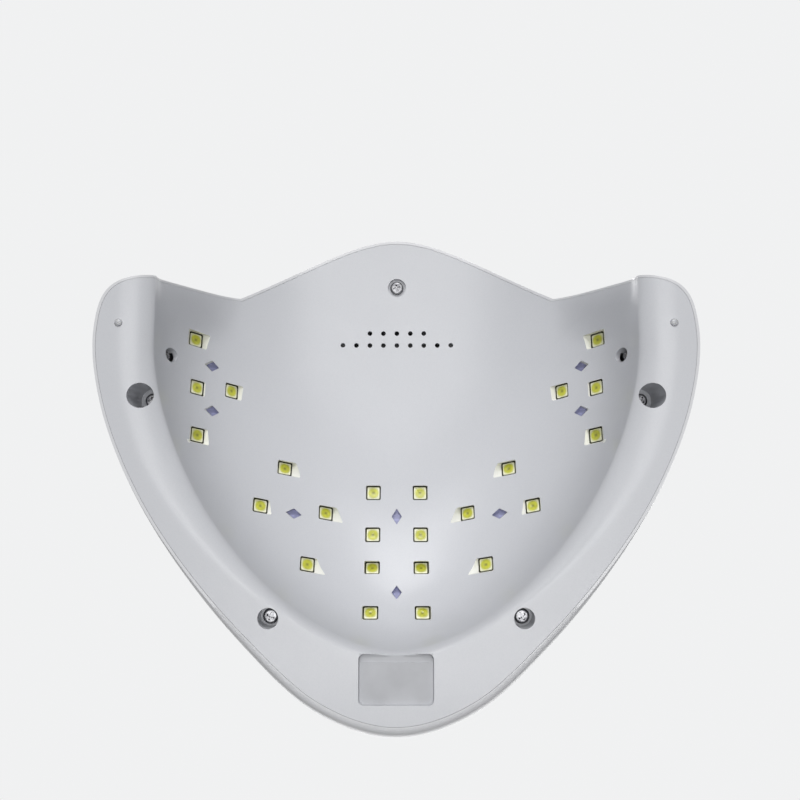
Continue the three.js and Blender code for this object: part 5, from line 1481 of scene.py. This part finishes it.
class NAILLAMP_OT_fan(LampOperator, bpy.types.Operator):
    """Builds the fan's frame and its rotor with curved blades"""
    bl_idname = "nail_lamp.fan"
    bl_label = "Fan"

    def execute(self, context):
        black = moulded_plastic("Black fan plastic", (0.022, 0.022, 0.025))
        low, high = box_of("fan_rotor")
        hub_top = high.z - (fan_high.z - high.z) if high.z < fan_high.z else fan_high.z - AXLE_RISE
        edge = arc((FAN_HUB - FAN_HUB_EDGE, low.z + FAN_HUB_EDGE), FAN_HUB_EDGE, -90, 0, 6)
        profile = [(0, low.z), *edge, (FAN_HUB, hub_top),
                   (FAN_AXLE, hub_top), (FAN_AXLE, high.z), (0, high.z)]
        rotor = place(turned("fan_wheel", profile, 64), upright(0, FAN_Y))
        blades = run_tree(mesh_piece("blades", [(0, 0, 0)], []), blade_tree(), Finish=black)
        place(blades, upright(0, FAN_Y, (low.z + hub_top) / 2))
        room = rod("blade_room", BLADE_ROOM, low.z + 0.1, hub_top, 96)
        add(rotor, combine(blades, place(room, upright(0, FAN_Y)), "INTERSECT"))
        finish_piece(smooth(rotor, 35), "fan_rotor_body", ["fan_rotor"], [black])
        paint_nodes(black, "black_plastic", "fan_frame")
        return {"FINISHED"}


class NAILLAMP_OT_inlet(LampOperator, bpy.types.Operator):
    """Builds the round power inlet at the rear tip"""
    bl_idname = "nail_lamp.inlet"
    bl_label = "Power inlet"

    def execute(self, context):
        black = moulded_plastic("Black inlet plastic", (0.02, 0.02, 0.023), (0.35, 0.5))
        steel = zinc_steel("Inlet contact metal")
        rings = ((INLET_BEVEL, 0.6, -INLET_DEPTH), (0, 0.8, 0.2 - INLET_DEPTH), (0, 0.8, -0.3),
                 (INLET_BEVEL + 0.2, 0.6, 0))
        body = layered("inlet_body", [rounded_outline(INLET_WIDTH - less, INLET_HEIGHT - less, corner, 4)
                                      for less, corner, _ in rings], [z for *_, z in rings])
        bore, lead_in = (INLET_BORE, -INLET_BORE_DEPTH), (INLET_LEAD_IN, -0.4)
        cut(body, rod("bore", *bore, 1, 48), rod("lead_in", *lead_in, 1, 48))
        finish_piece(smooth(place(body, socket_place())), "housing", ["dc_socket"], [black])
        foot = -INLET_BORE_DEPTH - 0.1
        profile = [(0, foot), (INLET_PIN, foot), (INLET_PIN, -1.5), (0.75, -1.1), (0.3, -1.0), (0, -1.0)]
        pin = turned("inlet_pin", profile, 32)
        finish_piece(smooth(place(pin, socket_place())), "housing", [], [steel])
        return {"FINISHED"}


class NAILLAMP_OT_boards(LampOperator, bpy.types.Operator):
    """Paints the boards, switches and wires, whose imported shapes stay"""
    bl_idname = "nail_lamp.boards"
    bl_label = "Boards and wiring"

    def execute(self, context):
        coating = coated_board("LED board coating", colours().board)
        paint_nodes(coating, "led_board", *[f"led_board_{name}" for name in LED_GROUPS])
        paint_nodes(coated_board("Green solder mask", (0.02, 0.14, 0.05)), "circuit_board", "main_board")
        black = moulded_plastic("Black switch plastic", (0.02, 0.02, 0.022))
        switches = [f"tact_switch_{label}" for label in BUTTON_LABELS]
        paint_nodes(black, "black_plastic", "display_module", *switches)
        white = moulded_plastic("White plunger plastic", (0.7, 0.7, 0.7))
        paint_nodes(white, "keys", *[f"switch_plunger_{label}" for label in BUTTON_LABELS])
        paint_nodes(wire_bundle("Wire bundle"), "wire", "wiring_loom")
        return {"FINISHED"}


# Stage, in metres: each lamp's place, its size, its power in watts and its width where it isn't square

LAMPS = {
    "key_below": ((-0.07, -1.1, -0.9), 1.0, 12.8, None),
    "fill_below": ((0.05, 0.0, -1.3), 0.7, 6.3, None),
    "rear_strip": ((0.0, 0.135, -0.36), 0.03, 0.1, 0.26),
    "key_above": ((-0.55, -0.65, 0.85), 0.8, 7.2, None),
    "fill_above": ((0.75, -0.15, 0.65), 0.9, 3.8, None),
    "back_above": ((0.1, 0.9, 0.7), 1.2, 3.8, None),
}
LAMP_AIM = Vector((0, 0, 0.04))
FLOOR_HALF = 3
ROOM_LIGHT, ROOM_STRENGTH = (0.97, 0.985, 1, 1), 0.06
BACKDROP_LIGHT, BACKDROP_STRENGTH = (0.93, 0.935, 0.94, 1), 0.94
CAMERA_PLACE, CAMERA_TIP = (0.0014, 0.016, -0.36), math.atan(105 / 966)
CAMERA_SENSOR, CAMERA_LENS = 36, 43.47


class NAILLAMP_OT_stage(LampOperator, bpy.types.Operator):
    """Sets the pale floor, the soft lamps, the world and the camera under the lamp"""
    bl_idname = "nail_lamp.stage"
    bl_label = "Stage"

    def execute(self, context):
        self.floor()
        self.world()
        for name, settings in LAMPS.items():
            self.lamp(name, *settings)
        self.camera()
        return {"FINISHED"}

    def floor(self):
        """Pale floor, seen only from above, because the photograph looks up from under it"""
        corners = [(x * FLOOR_HALF, y * FLOOR_HALF, 0) for x, y in ((-1, -1), (1, -1), (1, 1), (-1, 1))]
        floor = mesh_piece("floor", corners, [(0, 1, 2, 3)], 1)
        paint = Paint("Pale floor")
        pale = paint.mix(paint.noise(8, 3, 0.5), (0.80, 0.80, 0.80), (0.84, 0.84, 0.84))
        paint.surface(pale, (0.55, 0.7), 30, 3, 0.5)
        side = paint.add("ShaderNodeNewGeometry")
        clear = paint.add("ShaderNodeBsdfTransparent")
        choice = paint.add("ShaderNodeMixShader", {
            0: side.outputs["Backfacing"], 1: paint.shader.outputs[0], 2: clear.outputs[0]})
        paint.tree.links.new(choice.outputs[0], paint.tree.nodes["Material Output"].inputs[0])
        floor.data.materials.append(paint.material)
        floor.visible_shadow = floor.visible_diffuse = floor.visible_glossy = False

    def world(self):
        """Even pale light, and a near-white background for the camera and for reflections"""
        world = bpy.data.worlds.new("Studio")
        bpy.context.scene.world = world
        world.use_nodes = True
        tree = world.node_tree
        ray = tree.nodes.new("ShaderNodeLightPath").outputs
        seen = maths(tree, "MAXIMUM", ray["Is Camera Ray"], ray["Is Glossy Ray"])
        light = tree.nodes["Background"]
        light.inputs[0].default_value, light.inputs[1].default_value = ROOM_LIGHT, ROOM_STRENGTH
        backdrop = node_in(tree, "ShaderNodeBackground", {0: BACKDROP_LIGHT, 1: BACKDROP_STRENGTH})
        choice = node_in(tree, "ShaderNodeMixShader", {
            0: maths(tree, "MAXIMUM", seen, ray["Is Transmission Ray"]),
            1: light.outputs[0], 2: backdrop.outputs[0]})
        tree.links.new(choice.outputs[0], tree.nodes["World Output"].inputs[0])

    def lamp(self, name, place_at, size, power, width):
        data = bpy.data.lights.new(name, "AREA")
        data.shape = "RECTANGLE"
        data.size, data.size_y, data.energy = width or size, size, power
        lamp = linked(name, data)
        lamp.location = place_at
        lamp.rotation_euler = (LAMP_AIM - Vector(place_at)).to_track_quat("-Z", "Y").to_euler()

    def camera(self):
        """The photograph's view: from 0.36 m under the flange, tipped 6 degrees"""
        data = bpy.data.cameras.new("photo_view")
        data.sensor_width, data.lens = CAMERA_SENSOR, CAMERA_LENS
        camera = linked("photo_view", data)
        s, c = math.sin(CAMERA_TIP), math.cos(CAMERA_TIP)
        turn = Matrix(((1, 0, 0), (0, -c, s), (0, -s, -c)))
        camera.matrix_world = Matrix.Translation(CAMERA_PLACE) @ turn.to_4x4()
        bpy.context.scene.camera = camera
        bpy.context.scene.view_settings.view_transform = "Standard"

STEPS = [NAILLAMP_OT_shell, NAILLAMP_OT_reflector, NAILLAMP_OT_leds, NAILLAMP_OT_screws, NAILLAMP_OT_feet,
         NAILLAMP_OT_sensors, NAILLAMP_OT_panel, NAILLAMP_OT_buttons, NAILLAMP_OT_fan, NAILLAMP_OT_inlet,
         NAILLAMP_OT_boards, NAILLAMP_OT_stage]


class NAILLAMP_PT_panel(bpy.types.Panel):
    """Lists the lamp's settings and the steps that build it"""
    bl_idname = "NAILLAMP_PT_panel"
    bl_label = "Nail Lamp"
    bl_space_type = "VIEW_3D"
    bl_region_type = "UI"
    bl_category = "Nail Lamp"

    def draw(self, context):
        for settings in (context.scene.nail_lamp_sizes, context.scene.nail_lamp_colours):
            for key in settings.__annotations__:
                self.layout.prop(settings, key)
        for step in STEPS:
            self.layout.operator(step.bl_idname)


CLASSES = [LampSizes, LampColours, *STEPS, NAILLAMP_PT_panel]


def register():
    for item in CLASSES:
        bpy.utils.register_class(item)
    bpy.types.Scene.nail_lamp_sizes = bpy.props.PointerProperty(type=LampSizes)
    bpy.types.Scene.nail_lamp_colours = bpy.props.PointerProperty(type=LampColours)


def unregister():
    del bpy.types.Scene.nail_lamp_colours
    del bpy.types.Scene.nail_lamp_sizes
    for item in reversed(CLASSES):
        bpy.utils.unregister_class(item)


def main():
    register()
    bpy.ops.nail_lamp.shell()
    bpy.ops.nail_lamp.reflector()
    bpy.ops.nail_lamp.leds()
    bpy.ops.nail_lamp.screws()
    bpy.ops.nail_lamp.feet()
    bpy.ops.nail_lamp.sensors()
    bpy.ops.nail_lamp.panel()
    bpy.ops.nail_lamp.buttons()
    bpy.ops.nail_lamp.fan()
    bpy.ops.nail_lamp.inlet()
    bpy.ops.nail_lamp.boards()
    bpy.ops.nail_lamp.stage()


if __name__ == "__main__":
    main()
